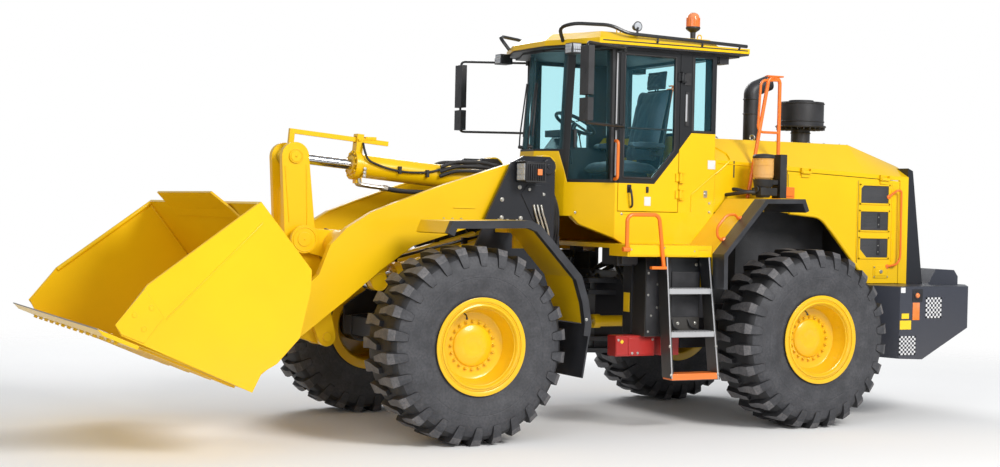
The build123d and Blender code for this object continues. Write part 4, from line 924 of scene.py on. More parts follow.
# ---------------------------------------------------------------- hood, vents and stacks
door_bodies = {"left": "engine_door_left", "right": "engine_door_right"}
place_of_side = {"left": left_place, "right": right_place}
vents = [((2.019, 2.192), "top"), ((1.761, 1.946), "middle"), ((1.502, 1.690), "low")]
sheet_in, sheet_out = 0.7470, 0.7485
wire_in, wire_out, wire_half = 0.7484, 0.7500, 0.0016
frame_in, frame_out = 0.7480, 0.7575
cleaner_x, exhaust_x = -2.5, -1.9
vent_front, vent_rear = -2.646, -2.987
for side_name, side in sides:
    place = place_of_side[side_name]
    body = door_bodies[side_name]
    mesh = bmesh.new()
    for (z_low, z_high), kind in vents:
        cut = 0.075 if kind == "low" else 0.03
        low_cut = cut if kind == "low" else 0.002
        high_cut = 0.03 if kind == "top" else 0.002
        outline = [(vent_front, z_high - high_cut), (vent_front - high_cut, z_high), (vent_rear, z_high),
                   (vent_rear, z_low + 0.02), (vent_rear + 0.02, z_low), (vent_front - low_cut, z_low),
                   (vent_front, z_low + low_cut)]
        add_plate(mesh, [(place(x, 0, 0).x, z) for x, z in outline],
                  *sorted((side * sheet_in, side * sheet_out)))
        for index in range(1, 28):
            x = vent_front + (vent_rear - vent_front) * index / 28
            add_box(mesh, place(x - wire_half, wire_in, z_low + 0.004),
                    place(x + wire_half, wire_out, z_high - 0.004))
        for index in range(1, 14):
            z = z_low + (z_high - z_low) * index / 14
            add_box(mesh, place(vent_front - 0.004, wire_in, z - wire_half),
                    place(vent_rear + 0.004, wire_out, z + wire_half))
    finish_piece(f"vent_mesh_{side_name}", mesh, vent_grey, body, smooth=0)
    mesh = bmesh.new()
    for (z_low, z_high), kind in vents:
        for low, high in (((vent_front + 0.016, z_high - 0.004), (vent_rear - 0.016, z_high + 0.012)),
                          ((vent_front + 0.016, z_low - 0.012), (vent_rear - 0.016, z_low + 0.004)),
                          ((vent_front + 0.016, z_low - 0.012), (vent_front - 0.003, z_high + 0.012)),
                          ((vent_rear + 0.003, z_low - 0.012), (vent_rear - 0.016, z_high + 0.012))):
            add_box(mesh, place(low[0], frame_in, low[1]), place(high[0], frame_out, high[1]))
        if kind == "low":
            add_plate(mesh, [(place(vent_front, 0, 0).x, z_low), (place(vent_front - 0.085, 0, 0).x, z_low),
                             (place(vent_front, 0, 0).x, z_low + 0.085)],
                      *sorted((side * frame_in, side * frame_out)))
        if kind == "top":
            add_plate(mesh, [(place(vent_front, 0, 0).x, z_high),
                             (place(vent_front - 0.035, 0, 0).x, z_high),
                             (place(vent_front, 0, 0).x, z_high - 0.035)],
                      *sorted((side * frame_in, side * frame_out)))
    add_box(mesh, place(-2.600, 0.7485, 1.470), place(-2.612, 0.7545, 2.225))
    add_box(mesh, place(-3.024, 0.7485, 1.470), place(-3.034, 0.7545, 2.225))
    lip = [(-1.80, 1.893), (-2.165, 1.862), (-2.33, 1.705), (-2.62, 1.392), (-2.742, 1.252)]
    add_pipe(mesh, [place(x, 0.752, z + 0.022) for x, z in lip], 0.019, 0.08)
    add_box(mesh, place(-2.835, 0.7555, 1.330), place(-2.975, 0.7600, 1.406))
    finish_piece(f"engine_door_pressings_{side_name}", mesh, yellow_paint, body,
                 bevel=0.004)
    mesh = bmesh.new()
    add_pipe(mesh, [place(-2.982, 0.752, 2.085), place(-3.048, 0.800, 2.150), place(-3.095, 0.806, 2.150),
                    place(-3.100, 0.806, 1.50), place(-3.060, 0.800, 1.440), place(-2.990, 0.752, 1.420)],
             0.011, 0.04)
    for z in (2.085, 1.420):
        add_round(mesh, place(-2.986, 0.750, z), place(-2.986, 0.758, z), 0.022, 16)
    finish_piece(f"engine_door_rail_{side_name}", mesh, orange_paint, body)
    mesh = bmesh.new()
    outward = (0, side, 0)
    add_bolts(mesh, [place(x, 0.7555, z) for x in (-2.830, -2.990) for z in (1.322, 1.414)],
              outward, 0.006, 0.004)
    add_round(mesh, place(-2.905, 0.756, 1.372), place(-2.905, 0.768, 1.372), 0.017, 18)
    for z in (1.56, 1.62, 1.82, 1.89):
        add_round(mesh, place(-2.87, 0.7490, z), place(-2.87, 0.7535, z), 0.006, 10)
    finish_piece(f"engine_door_lock_{side_name}", mesh, zinc_steel, body)
    mesh = bmesh.new()
    for z_low, z_high in ((1.530, 1.680), (1.785, 1.930)):
        add_box(mesh, place(-2.855, 0.7490, z_low), place(-2.890, 0.7520, z_high))
    add_box(mesh, place(-2.62, 0.7495, 1.455), place(-2.615, 0.7512, 2.235))
    finish_piece(f"engine_door_stay_{side_name}", mesh, black_plastic, body, bevel=0.001)

mesh = bmesh.new()
for place in both_places:
    add_box(mesh, place(-1.169, 0.7495, 2.219), place(-1.182, 0.7525, 2.370))
    add_box(mesh, place(-1.790, 0.7495, 1.93), place(-1.795, 0.7512, 2.27))
for x in (-1.62, -2.28, -2.70):
    add_box(mesh, at(x, -0.478, 2.5795), at(x + 0.006, 0.478, 2.5815))
add_ring(mesh, at(exhaust_x, 0, 2.592), (0, 0, 1), 0.082, 0.012, 32)
add_ring(mesh, at(exhaust_x, 0, 2.86), (0, 0, 1), 0.077, 0.006, 32)
add_ring(mesh, at(exhaust_x, 0, 3.00), (0, 0, 1), 0.077, 0.006, 32)
for z in (2.762, 2.810, 2.985):
    add_ring(mesh, at(cleaner_x, 0, z), (0, 0, 1), 0.224 if z > 2.8 else 0.241, 0.006, 48)
add_ring(mesh, at(cleaner_x, 0, 2.60), (0, 0, 1), 0.094, 0.010, 32)
add_ring(mesh, at(cleaner_x, 0, 2.70), (0, 0, 1), 0.094, 0.006, 32)
for index in range(24):
    angle = index * math.pi / 12
    centre = at(cleaner_x, 0, 0)
    turn = Matrix.Translation(centre) @ Matrix.Rotation(angle, 4, "Z")
    add_box(mesh, (0.095, -0.004, 2.728), (0.236, 0.004, 2.752), turn)
finish_piece("hood_seams_and_stack_bands", mesh, black_plastic, "rear_frame", bevel=0.0015)

mesh = bmesh.new()
for place in both_places:
    add_ring(mesh, place(-1.03, 0.43, 2.615), (0, 1, 0), 0.024, 0.007)
    add_round(mesh, place(-1.03, 0.43, 2.572), place(-1.03, 0.43, 2.596), 0.013, 12)
    add_ring(mesh, place(-1.70, 0.30, 2.615), (1, 0.6, 0), 0.024, 0.007)
    add_round(mesh, place(-1.70, 0.30, 2.572), place(-1.70, 0.30, 2.596), 0.013, 12)
    add_bolts(mesh, [place(-1.66 - index * 0.19, 0.465, 2.580) for index in range(6)], (0, 0, 1),
              0.008, 0.006)
finish_piece("hood_eyes_and_bolts", mesh, zinc_steel, "rear_frame")

mesh = bmesh.new()
for place in both_places:
    add_pipe(mesh, [place(-0.915, 1.20, 1.845), place(-0.880, 1.20, 1.885), place(-0.790, 1.20, 1.880),
                    place(-0.690, 1.20, 1.770), place(-0.695, 1.20, 1.690), place(-0.745, 1.20, 1.655)],
             0.012, 0.05)
    for x, z in ((-0.915, 1.845), (-0.745, 1.655)):
        add_round(mesh, place(x, 1.20, z), place(x - 0.030, 1.20, z + 0.010 if z > 1.8 else z + 0.018),
                  0.022, 16)
    add_box(mesh, place(-0.160, 1.196, 1.405), place(-0.010, 1.238, 1.430))
    add_round(mesh, place(0.205, 1.217, 1.572), place(0.275, 1.217, 1.572), 0.021, 16)
    add_box(mesh, place(-0.243, 1.085, 0.455), place(-0.715, 1.2265, 0.510))
    for x in (-1.640, -1.620):
        add_round(mesh, place(x, 0.795, 2.02), place(x, 0.795, 2.055), 0.026, 18)
    add_box(mesh, place(-1.48, 0.770, 3.146), place(-1.66, 0.818, 3.160))
finish_piece("rail_loops_and_low_steps", mesh, orange_paint, "rear_frame", bevel=0.003)

# ---------------------------------------------------------------- fuel filter on the left fender
mesh = bmesh.new()
filter_x, filter_y = -1.319, 1.0
filter_place = Matrix.Translation(at(filter_x, filter_y, 0)) @ upright
add_turned(mesh, [(on_axis, 2.205), (0.070, 2.206), (0.088, 2.222), (0.092, 2.245), (0.092, 2.392),
                  (on_axis, 2.396)], 36, filter_place)
for z in (2.25, 2.33, 2.385):
    add_ring(mesh, at(filter_x, filter_y, z), (0, 0, 1), 0.0925, 0.003, 36, 6)
finish_piece("filter_bowl", mesh, amber_bowl, "rear_frame")
mesh = bmesh.new()
add_turned(mesh, [(on_axis, 2.394), (0.100, 2.394), (0.100, 2.410), (0.086, 2.428), (0.030, 2.434),
                  (on_axis, 2.434)], 36, filter_place)
add_turned(mesh, [(on_axis, 2.042), (0.060, 2.043), (0.070, 2.075), (0.055, 2.110), (0.082, 2.140),
                  (0.094, 2.205), (on_axis, 2.207)], 28, filter_place)
add_box(mesh, at(-1.245, 0.93, 2.060), at(-1.425, 1.07, 2.130))
add_box(mesh, at(-1.462, 0.94, 2.040), at(-1.535, 1.06, 2.432))
add_box(mesh, at(-1.40, 0.97, 2.16), at(-1.470, 1.03, 2.20))
add_round(mesh, at(filter_x, filter_y, 2.1), at(filter_x, 0.86, 2.1), 0.022, 14)
add_pipe(mesh, [at(filter_x, 0.87, 2.1), at(-1.25, 0.85, 2.09), at(-1.17, 0.76, 2.12),
                at(-1.15, 0.60, 2.10)], 0.017, 0.08)
add_pipe(mesh, [at(-1.24, 1.0, 2.085), at(-1.16, 0.98, 2.09), at(-1.10, 0.86, 2.07), at(-1.09, 0.60, 2.05)],
         0.017, 0.08)
add_ring(mesh, at(-1.229, 1.02, 2.115), (1, 0.3, 0), 0.024, 0.006)
finish_piece("filter_head_and_hoses", mesh, hose_rubber, "rear_frame", bevel=0.003)
mesh = bmesh.new()
add_box(mesh, at(-1.500, 0.955, 2.040), at(-1.640, 1.045, 2.142))
add_box(mesh, at(-1.520, 0.945, 2.060), at(-1.620, 1.055, 2.120))
finish_piece("filter_orange_block", mesh, orange_paint, "rear_frame", bevel=0.006)

# ---------------------------------------------------------------- counterweight
def add_punched_plate(mesh, place, x_low, x_high, z_low, z_high, y):
    """Plate built from bars, leaving four by four square holes."""
    for count, horizontal in ((5, False), (5, True)):
        for index in range(count):
            share = index / (count - 1)
            if horizontal:
                z = z_low + (z_high - z_low - 0.018) * share
                add_box(mesh, place(x_low, y, z), place(x_high, y + 0.004, z + 0.018))
            else:
                x = x_low + (x_high - x_low - 0.018) * share
                add_box(mesh, place(x, y, z_low), place(x + 0.018, y + 0.004, z_high))


ballast_side = 1.2398
lamp_x, lamp_z = -2.930, 1.172
mesh = bmesh.new()
for place in both_places:
    add_punched_plate(mesh, place, -3.230, -3.040, 0.960, 1.152, ballast_side)
    add_punched_plate(mesh, place, -2.925, -2.730, 0.620, 0.795, ballast_side)
    add_box(mesh, place(-2.735, ballast_side, 1.195), place(-2.790, 1.2430, 1.245))
finish_piece("counterweight_white_plates", mesh, white_paint, "rear_frame", smooth=0)
mesh = bmesh.new()
for place in both_places:
    add_box(mesh, place(-2.733, ballast_side, 0.856), place(-2.868, 1.2425, 0.940))
    add_box(mesh, place(-2.752, ballast_side, 0.955), place(-2.840, 1.2425, 1.005))
finish_piece("counterweight_blank_plates", mesh, amber_paint, "rear_frame", bevel=0.001)
mesh = bmesh.new()
for place in both_places:
    add_box(mesh, place(-2.882, ballast_side, 0.943), place(-2.965, 1.2435, 1.105))
    add_round(mesh, place(lamp_x, 1.250, lamp_z), place(lamp_x, 1.262, lamp_z), 0.026, 20, 0.018)
finish_piece("amber_reflectors", mesh, amber_lens, "rear_frame", bevel=0.001)
mesh = bmesh.new()
for place in both_places:
    add_box(mesh, place(-2.878, 1.2380, 1.115), place(-2.995, 1.2460, 1.228))
    add_round(mesh, place(lamp_x, 1.244, lamp_z), place(lamp_x, 1.252, lamp_z), 0.036, 24)
    add_box(mesh, place(-3.838, 0.30, 1.020), place(-3.8395, 0.80, 1.100))
finish_piece("counterweight_lamp_bases", mesh, black_plastic, "rear_frame", bevel=0.003)
mesh = bmesh.new()
for place in both_places:
    add_box(mesh, place(-3.836, 0.62, 1.030), place(-3.8398, 0.78, 1.090))
    add_box(mesh, place(-3.836, 0.34, 1.030), place(-3.8398, 0.44, 1.090))
finish_piece("tail_lamp_lenses", mesh, red_lens, "rear_frame", bevel=0.001)
mesh = bmesh.new()
hitch_x = -3.765
add_round(mesh, at(hitch_x, 0, 1.00), at(hitch_x, 0, 1.43), 0.023, 24)
add_ring(mesh, at(hitch_x, 0, 1.455), (0, 1, 0), 0.030, 0.008)
for place in both_places:
    add_bolts(mesh, [place(-3.40, 0.30, 1.398), place(-3.40, 0.55, 1.398)], (0, 0, 1), 0.022, 0.016)
    for x in (-2.62, -2.70):
        add_bolts(mesh, [place(x, 0.60, 1.2545)], (0, 0, 1), 0.020, 0.016)
finish_piece("tow_pin_and_ballast_bolts", mesh, worn_steel, "rear_frame")

# ---------------------------------------------------------------- ladders, tanks and platform
stringer_in, stringer_out = 1.2245, 1.2285
tank_side, box_side = 1.0590, 0.9990
mesh = bmesh.new()
for place in both_places:
    for z, front, rear in ((1.2355, -0.192, -0.628), (0.8655, -0.221, -0.672)):
        add_box(mesh, place(front, 1.082, z - 0.002), place(rear, 1.2265, z + 0.003))
        for index in range(14):
            x = front + (rear - front) * (index + 0.5) / 14
            add_box(mesh, place(x - 0.008, 1.090, z + 0.003), place(x + 0.008, 1.220, z + 0.008))
        add_box(mesh, place(front - 0.004, 1.2240, z - 0.042), place(rear + 0.004, 1.2275, z + 0.001))
    add_plate(mesh,
              [(at(x, 0, 0).x, z)
               for x, z in ((-0.158, 1.508), (-0.170, 1.508), (-0.250, 0.470), (-0.238, 0.470))],
              *sorted((place(0, stringer_in, 0).y, place(0, stringer_out, 0).y)))
    add_plate(mesh,
              [(at(x, 0, 0).x, z)
               for x, z in ((-0.590, 1.508), (-0.602, 1.508), (-0.730, 0.450), (-0.718, 0.450))],
              *sorted((place(0, stringer_in, 0).y, place(0, stringer_out, 0).y)))
finish_piece("ladder_treads", mesh, silver_paint, "rear_frame", bevel=0.001)

mesh = bmesh.new()
for place in both_places:
    outward = (0, 1 if place is left_place else -1, 0)
    add_bolts(mesh,
              [place(x, 1.0605, z)
               for x, z in ((-0.085, 1.366), (-0.177, 1.269), (-0.085, 1.178), (-0.176, 1.07),
                            (-0.118, 1.00), (-0.090, 0.864), (-0.40, 0.93), (-0.58, 0.93), (-0.58, 1.44),
                            (-0.25, 1.46))], outward, 0.011, 0.010)
    add_bolts(mesh,
              [place(x, 1.0005, z)
               for x, z in ((0.024, 0.675), (-0.031, 0.675), (-0.300, 0.675), (-0.352, 0.675),
                            (0.165, 0.790), (-0.180, 0.790))], outward, 0.012, 0.009)
    add_bolts(mesh,
              [place(x, 1.2255, z)
               for x, z in ((-0.216, 0.747), (-0.236, 0.500), (-0.692, 0.741), (-0.718, 0.500))],
              outward, 0.010, 0.008)
    add_bolts(mesh, [place(x, 1.2005, z) for x, z in ((-0.459, 1.560), (0.180, 1.570), (-0.15, 1.588))],
              outward, 0.008, 0.007)
    for x in (-0.30, -0.38):
        add_round(mesh, place(x, 0.92, 1.4995), place(x, 0.92, 1.520), 0.016, 12)
    add_box(mesh, place(-0.400, 1.0600, 1.300), place(-0.490, 1.0618, 1.352))
finish_piece("side_bolts_and_terminals", mesh, zinc_steel, "rear_frame")

mesh = bmesh.new()
for place in both_places:
    add_box(mesh, place(-0.066, tank_side, 0.830), place(-0.200, 1.0680, 1.395))
    add_box(mesh, place(-0.325, tank_side, 1.185), place(-0.612, 1.0700, 1.378))
    add_box(mesh, place(-0.325, tank_side, 0.985), place(-0.612, 1.0640, 1.170))
    add_box(mesh, place(-0.210, tank_side, 0.840), place(-0.318, 1.0660, 1.490))
    add_pipe(mesh, [place(-0.34, 1.062, 0.965), place(-0.34, 1.085, 0.90), place(-0.42, 1.085, 0.86),
                    place(-0.43, 1.062, 0.84)], 0.010, 0.04)
    add_pipe(mesh, [place(-0.50, 1.062, 0.965), place(-0.52, 1.080, 0.90), place(-0.60, 1.080, 0.88),
                    place(-0.60, 1.062, 0.84)], 0.008, 0.04)
    add_box(mesh, place(-0.10, 0.72, 1.4995), place(-0.58, 1.03, 1.508))
finish_piece("tank_covers_and_hoses", mesh, black_plastic, "rear_frame", bevel=0.004)

mesh = bmesh.new()
for place in both_places:
    add_box(mesh, place(0.185, box_side, 0.660), place(0.070, 1.0060, 0.812))
    add_box(mesh, place(0.060, box_side, 0.660), place(-0.200, 1.0050, 0.806))
    add_box(mesh, place(-0.270, box_side, 0.660), place(-0.450, 1.0050, 0.806))
    add_box(mesh, place(0.188, 0.868, 0.8195), place(-0.203, 1.002, 0.8255))
finish_piece("red_box_lids", mesh, red_paint, "rear_frame", bevel=0.005)
mesh = bmesh.new()
for place in both_places:
    turn = Matrix.Translation(place(0.130, 1.0065, 0.775)) @ Matrix.Rotation(math.pi / 4, 4, "Y")
    add_box(mesh, (-0.014, -0.001, -0.014), (0.014, 0.002, 0.014), turn)
    add_box(mesh, place(-0.046, 0.740, 1.018), place(-0.041, 0.835, 1.185))
finish_piece("blank_yellow_plates", mesh, amber_paint, "rear_frame", bevel=0.001)
mesh = bmesh.new()
for place in both_places:
    add_box(mesh, place(-0.340, 0.360, 0.980), place(-0.360, 0.740, 1.500))
    add_box(mesh, place(-0.075, 0.725, 0.830), place(-0.046, 0.860, 1.500))
    add_box(mesh, place(-0.12, 0.770, 0.700), place(-0.03, 0.870, 0.815))
    for index in range(3):
        shift = 0.11 * index
        add_pipe(mesh, [place(-0.16, 0.50 - index * 0.07, 1.46), place(-0.19, 0.56, 1.40 - shift),
                        place(-0.20, 0.60, 1.10 - shift), place(-0.26, 0.62, 0.95)], 0.017, 0.08)
finish_piece("neck_side_covers", mesh, frame_grey, "rear_frame", bevel=0.004)
mesh = bmesh.new()
for place in both_places:
    add_pipe(mesh, [place(-0.30, 0.770, 1.868), place(-0.09, 0.770, 1.868), place(0.03, 0.770, 1.868)],
             0.006, 0.01, 8)
    add_box(mesh, place(0.200, 1.1995, 1.520), place(-0.500, 1.2065, 1.606))
    add_box(mesh, place(-0.500, 1.1995, 1.570), place(-0.620, 1.2040, 1.606))
    for index in range(12):
        for row in range(5):
            add_round(mesh, place(0.12 - index * 0.062, 0.86 + row * 0.068, 1.6095),
                      place(0.12 - index * 0.062, 0.86 + row * 0.068, 1.6125), 0.012, 8)
finish_piece("platform_edge_and_grip", mesh, yellow_paint, "rear_frame", bevel=0.0015)

# ---------------------------------------------------------------- pins of the arm and its linkage
tower_pin_x, tower_pin_z = 0.660, 2.260
crank_pin_x, crank_pin_z = 2.745, 1.602
bucket_pin_x, bucket_pin_z = 3.175, 0.800
tilt_base_x, tilt_base_z = 0.850, 2.114
tilt_top_x, tilt_top_z = 2.800, 2.284
lift_base_x, lift_base_z = 0.820, 1.620
lift_top_x, lift_top_z = 2.150, 1.260

# ---------------------------------------------------------------- hoses and centre of the machine
mesh = bmesh.new()
for y, z in ((0.12, 1.36), (0.19, 1.40), (0.26, 1.44), (0.33, 1.40), (-0.16, 1.38), (-0.24, 1.42),
             (-0.31, 1.38)):
    add_pipe(mesh, [at(-0.86, y, z), at(-0.60, y * 1.05, z + 0.04), at(-0.42, y * 1.1, z - 0.02),
                    at(-0.30, y * 1.1, z - 0.10)], 0.019, 0.15)
add_box(mesh, at(-0.90, -0.34, 1.30), at(-0.80, 0.40, 1.50))
for y in (-0.26, -0.18, 0.14, 0.22, 0.30):
    add_round(mesh, at(-0.80, y, 1.44), at(-0.765, y, 1.44), 0.028, 6)
    add_ring(mesh, at(-0.775, y, 1.44), (1, 0, 0), 0.024, 0.004, 16, 6)
finish_piece("rear_frame_hoses", mesh, hose_rubber, "rear_frame")
mesh = bmesh.new()
for side in (1, -1):
    add_box(mesh, at(0.40, side * 0.12, 1.42), at(0.575, side * 0.36, 1.66))
    for index in range(4):
        x = 0.455 + 0.032 * index
        add_round(mesh, at(x, side * 0.30, 1.66), at(x, side * 0.30, 1.70), 0.015, 12)
        add_round(mesh, at(x, side * 0.36, 1.56), at(x, side * 0.392, 1.56), 0.016, 12)
        behind = 0.505 + 0.020 * index
        add_pipe(mesh, [at(x, side * 0.392, 1.56), at(x + 0.03, side * 0.45, 1.58),
                        at(behind, side * 0.52, 1.72), at(behind + 0.02, side * 0.545, 1.90),
                        at(0.59, side * 0.55, 2.05)], 0.012, 0.08, 8)
        add_pipe(mesh, [at(x, side * 0.30, 1.70), at(behind, side * 0.32, 1.80),
                        at(behind, side * 0.36, 1.98), at(0.585, side * 0.37, 2.15)], 0.013, 0.08, 8)
    add_pipe(mesh, [at(0.40, side * 0.25, 1.46), at(0.30, side * 0.28, 1.44), at(0.27, side * 0.33, 1.34),
                    at(0.30, side * 0.38, 1.25)], 0.020, 0.08)
    add_pipe(mesh, [at(0.45, side * 0.42, 1.20), at(0.44, side * 0.48, 1.12), at(0.47, side * 0.50, 0.98),
                    at(0.55, side * 0.50, 0.86)], 0.018, 0.08)
finish_piece("front_frame_valve_and_hoses", mesh, hose_rubber, "front_frame", bevel=0.002)
mesh = bmesh.new()
for side in (1, -1):
    for index in range(3):
        x = 0.665 + index * 0.036
        add_pipe(mesh, [at(x + 0.06, side * 0.600, 1.93), at(x + 0.05, side * 0.612, 1.86),
                        at(x - 0.01, side * 0.612, 1.70), at(x - 0.03, side * 0.600, 1.60)], 0.010, 0.06)
    add_bolts(mesh,
              [at(x, side * 0.5905, z)
               for x, z in ((1.100, 1.968), (1.100, 1.814), (0.916, 1.812), (0.932, 2.077), (0.700, 2.02),
                            (0.84, 2.06), (0.64, 1.45), (1.30, 1.35))], (0, side, 0), 0.014, 0.012)
finish_piece("tower_pipes_and_bolts", mesh, zinc_steel, "front_frame")
mesh = bmesh.new()
for place in both_places:
    add_round(mesh, place(tower_pin_x, 0.6015, tower_pin_z), place(tower_pin_x, 0.6150, tower_pin_z),
              0.070, 30, 0.064)
    add_round(mesh, place(tower_pin_x, 0.6150, tower_pin_z), place(tower_pin_x, 0.6210, tower_pin_z),
              0.022, 16)
    for index in range(8):
        x = 0.785 + index * 0.022
        add_box(mesh, place(x, 0.7595, 2.135), place(x + 0.009, 0.7720, 2.275))
    add_box(mesh, place(0.775, 0.605, 2.2895), place(0.985, 0.765, 2.298))
    add_box(mesh, place(0.960, 0.600, 2.122), place(0.968, 0.760, 2.288))
    add_plate(mesh,
              [(at(x, 0, 0).x, z)
               for x, z in ((0.640, 2.10), (0.860, 2.10), (0.920, 2.02), (0.80, 1.80), (0.625, 1.72),
                            (0.625, 2.04))], *sorted((place(0, 0.589, 0).y, place(0, 0.597, 0).y)))
finish_piece("tower_covers_and_lamp_ribs", mesh, frame_grey, "front_frame", bevel=0.003)
mesh = bmesh.new()
for place in both_places:
    add_lamp(mesh, place(0.967, 0.612, 2.135), place(0.972, 0.748, 2.278))
finish_piece("head_lamp_lenses", mesh, lamp_lens, "front_frame", bevel=0.001)
mesh = bmesh.new()
for place in both_places:
    add_box(mesh, place(0.815, 0.7700, 2.180), place(0.860, 0.7765, 2.232))
finish_piece("side_marker_lenses", mesh, amber_lens, "front_frame", bevel=0.002)
canister_x, canister_y = 0.44, 0.44
mesh = bmesh.new()
for side in (1, -1):
    canister = Matrix.Translation(at(canister_x, side * canister_y, 0)) @ upright
    add_turned(mesh, [(on_axis, 0.955), (0.050, 0.958), (0.058, 0.970), (0.058, 1.215), (0.050, 1.228),
                      (on_axis, 1.230)], 28, canister)
    for z in (1.0, 1.18):
        add_ring(mesh, at(canister_x, side * canister_y, z), (0, 0, 1), 0.058, 0.003, 28, 6)
finish_piece("oil_filter_canisters", mesh, yellow_paint, "front_frame")

# ---------------------------------------------------------------- front fenders
mesh = bmesh.new()
for place in both_places:
    outward = (0, 1 if place is left_place else -1, 0)
    add_bolts(mesh, [place(0.720, 1.4000, 1.00)], outward, 0.010, 0.008)
    for y in (0.92, 1.08, 1.24):
        add_bolts(mesh, [place(1.30, y, 1.7995), place(1.80, y, 1.7995)], (0, 0, 1), 0.009, 0.007)
finish_piece("fender_bolts", mesh, zinc_steel, "front_frame")


def add_skin(mesh, place, path, y_low, y_high, skin=0.003):
    """Thin sheet on the outer side of a bent fender path."""
    for (x, z), (next_x, next_z) in zip(path, path[1:]):
        run = math.hypot(next_x - x, next_z - z)
        out_x, out_z = (next_z - z) / run * skin, -(next_x - x) / run * skin
        outline = [(x, z), (next_x, next_z), (next_x + out_x, next_z + out_z), (x + out_x, z + out_z)]
        add_plate(mesh, [(at(u, 0, 0).x, v) for u, v in outline],
                  *sorted((place(0, y_low, 0).y, place(0, y_high, 0).y)))


mesh = bmesh.new()
for place in both_places:
    add_skin(mesh, place, [(-0.650, 1.240), (-0.645, 1.540), (-1.080, 2.025), (-1.500, 2.034),
                           (-1.545, 1.930)], 0.775, 1.205)
finish_piece("rear_fender_yellow_skins", mesh, yellow_paint, "rear_frame")
mesh = bmesh.new()
for place in both_places:
    add_box(mesh, place(0.000, 0.500, 1.425), place(0.045, 1.000, 1.600))
    add_box(mesh, place(0.010, 0.940, 1.425), place(0.190, 1.000, 1.600))
    add_box(mesh, place(0.010, 0.990, 1.440), place(0.170, 1.040, 1.596))
finish_piece("platform_under_covers", mesh, black_plastic, "rear_frame", bevel=0.004)

# ---------------------------------------------------------------- arm, crank and their pin covers
mesh = bmesh.new()
for place in both_places:
    add_ring(mesh, place(crank_pin_x, 0.2575, crank_pin_z), (0, 1, 0), 0.098, 0.005, 40)
    add_round(mesh, place(crank_pin_x, 0.2565, crank_pin_z), place(crank_pin_x, 0.2620, crank_pin_z),
              0.060, 32)
    add_round(mesh, place(crank_pin_x, 0.2620, crank_pin_z), place(crank_pin_x, 0.2660, crank_pin_z),
              0.008, 10)
finish_piece("crank_pin_covers", mesh, yellow_paint, "bellcrank_pin", bevel=0.002)
mesh = bmesh.new()
for place in both_places:
    for y in (0.6005, 0.3675):
        add_ring(mesh, place(bucket_pin_x, y, bucket_pin_z), (0, 1, 0), 0.080, 0.004, 36)
    add_round(mesh, place(bucket_pin_x, 0.5995, bucket_pin_z), place(bucket_pin_x, 0.6055, bucket_pin_z),
              0.042, 28)
    add_round(mesh, place(bucket_pin_x, 0.6055, bucket_pin_z), place(bucket_pin_x, 0.6100, bucket_pin_z),
              0.008, 10)
finish_piece("bucket_pin_covers", mesh, yellow_paint, "bucket_pins", bevel=0.002)
mesh = bmesh.new()
for place in both_places:
    add_round(mesh, place(tilt_top_x, 0.1665, tilt_top_z), place(tilt_top_x, 0.1720, tilt_top_z), 0.045, 28)
    add_ring(mesh, place(tilt_top_x, 0.1670, tilt_top_z), (0, 1, 0), 0.054, 0.003, 32)
    add_bolts(mesh, [place(tilt_top_x, 0.1718, tilt_top_z)], (0, 1 if place is left_place else -1, 0),
              0.008, 0.005)
    add_pipe(mesh, [place(2.690, 0.1555, 1.72), place(2.705, 0.1555, 2.22)], 0.005, 0.01, 8)
    add_pipe(mesh, [place(2.845, 0.1555, 1.74), place(2.890, 0.1555, 2.20)], 0.005, 0.01, 8)
finish_piece("crank_covers_and_welds", mesh, yellow_paint, "bellcrank", bevel=0.001)
mesh = bmesh.new()
for place in both_places:
    top = [(1.050, 2.262), (1.640, 2.072), (2.000, 1.942), (2.260, 1.842), (2.480, 1.707)]
    add_pipe(mesh, [place(x, 0.4495, z - 0.012) for x, z in top], 0.008, 0.05, 8)
    add_ring(mesh, place(bucket_pin_x, 0.5205, bucket_pin_z), (0, 1, 0), 0.070, 0.004, 32)
    add_ring(mesh, place(tower_pin_x, 0.5215, tower_pin_z), (0, 1, 0), 0.098, 0.006, 32)
    add_ring(mesh, place(2.435, 0.4490, 1.552), (0, 1, 0), 0.130, 0.009, 40)
    add_ring(mesh, place(lift_top_x, 0.4490, lift_top_z), (0, 1, 0), 0.070, 0.006, 32)
    add_box(mesh, place(1.32, 0.5195, 1.885), place(1.52, 0.5260, 1.895))
finish_piece("arm_weld_beads", mesh, yellow_paint, "boom")
mesh = bmesh.new()
for y in (-0.06, 0.06):
    add_pipe(mesh, [at(1.15, y + 0.34, 2.06), at(1.70, y + 0.34, 1.90), at(2.20, y + 0.30, 1.70),
                    at(2.42, y + 0.10, 1.66)], 0.013, 0.12)
for x, z in ((1.30, 2.02), (1.75, 1.885), (2.10, 1.745)):
    add_box(mesh, at(x - 0.02, 0.25, z - 0.035), at(x + 0.02, 0.449, z + 0.012))
add_pipe(mesh, [at(2.42, 0.04, 1.66), at(2.47, 0.0, 1.69), at(2.45, -0.06, 1.67)], 0.008, 0.03, 8)
finish_piece("arm_grease_hoses", mesh, hose_rubber, "boom", bevel=0.002)

# ---------------------------------------------------------------- cylinders
def along(base, top, distance, height, y):
    """Point at a distance from base towards top, height above that axis."""
    run = Vector((top[0] - base[0], top[1] - base[1])).normalized()
    return at(base[0] + run.x * distance - run.y * height, y, base[1] + run.y * distance + run.x * height)


tilt_line = ((tilt_base_x, tilt_base_z), (tilt_top_x, tilt_top_z))
lift_line = ((lift_base_x, lift_base_z), (lift_top_x, lift_top_z))


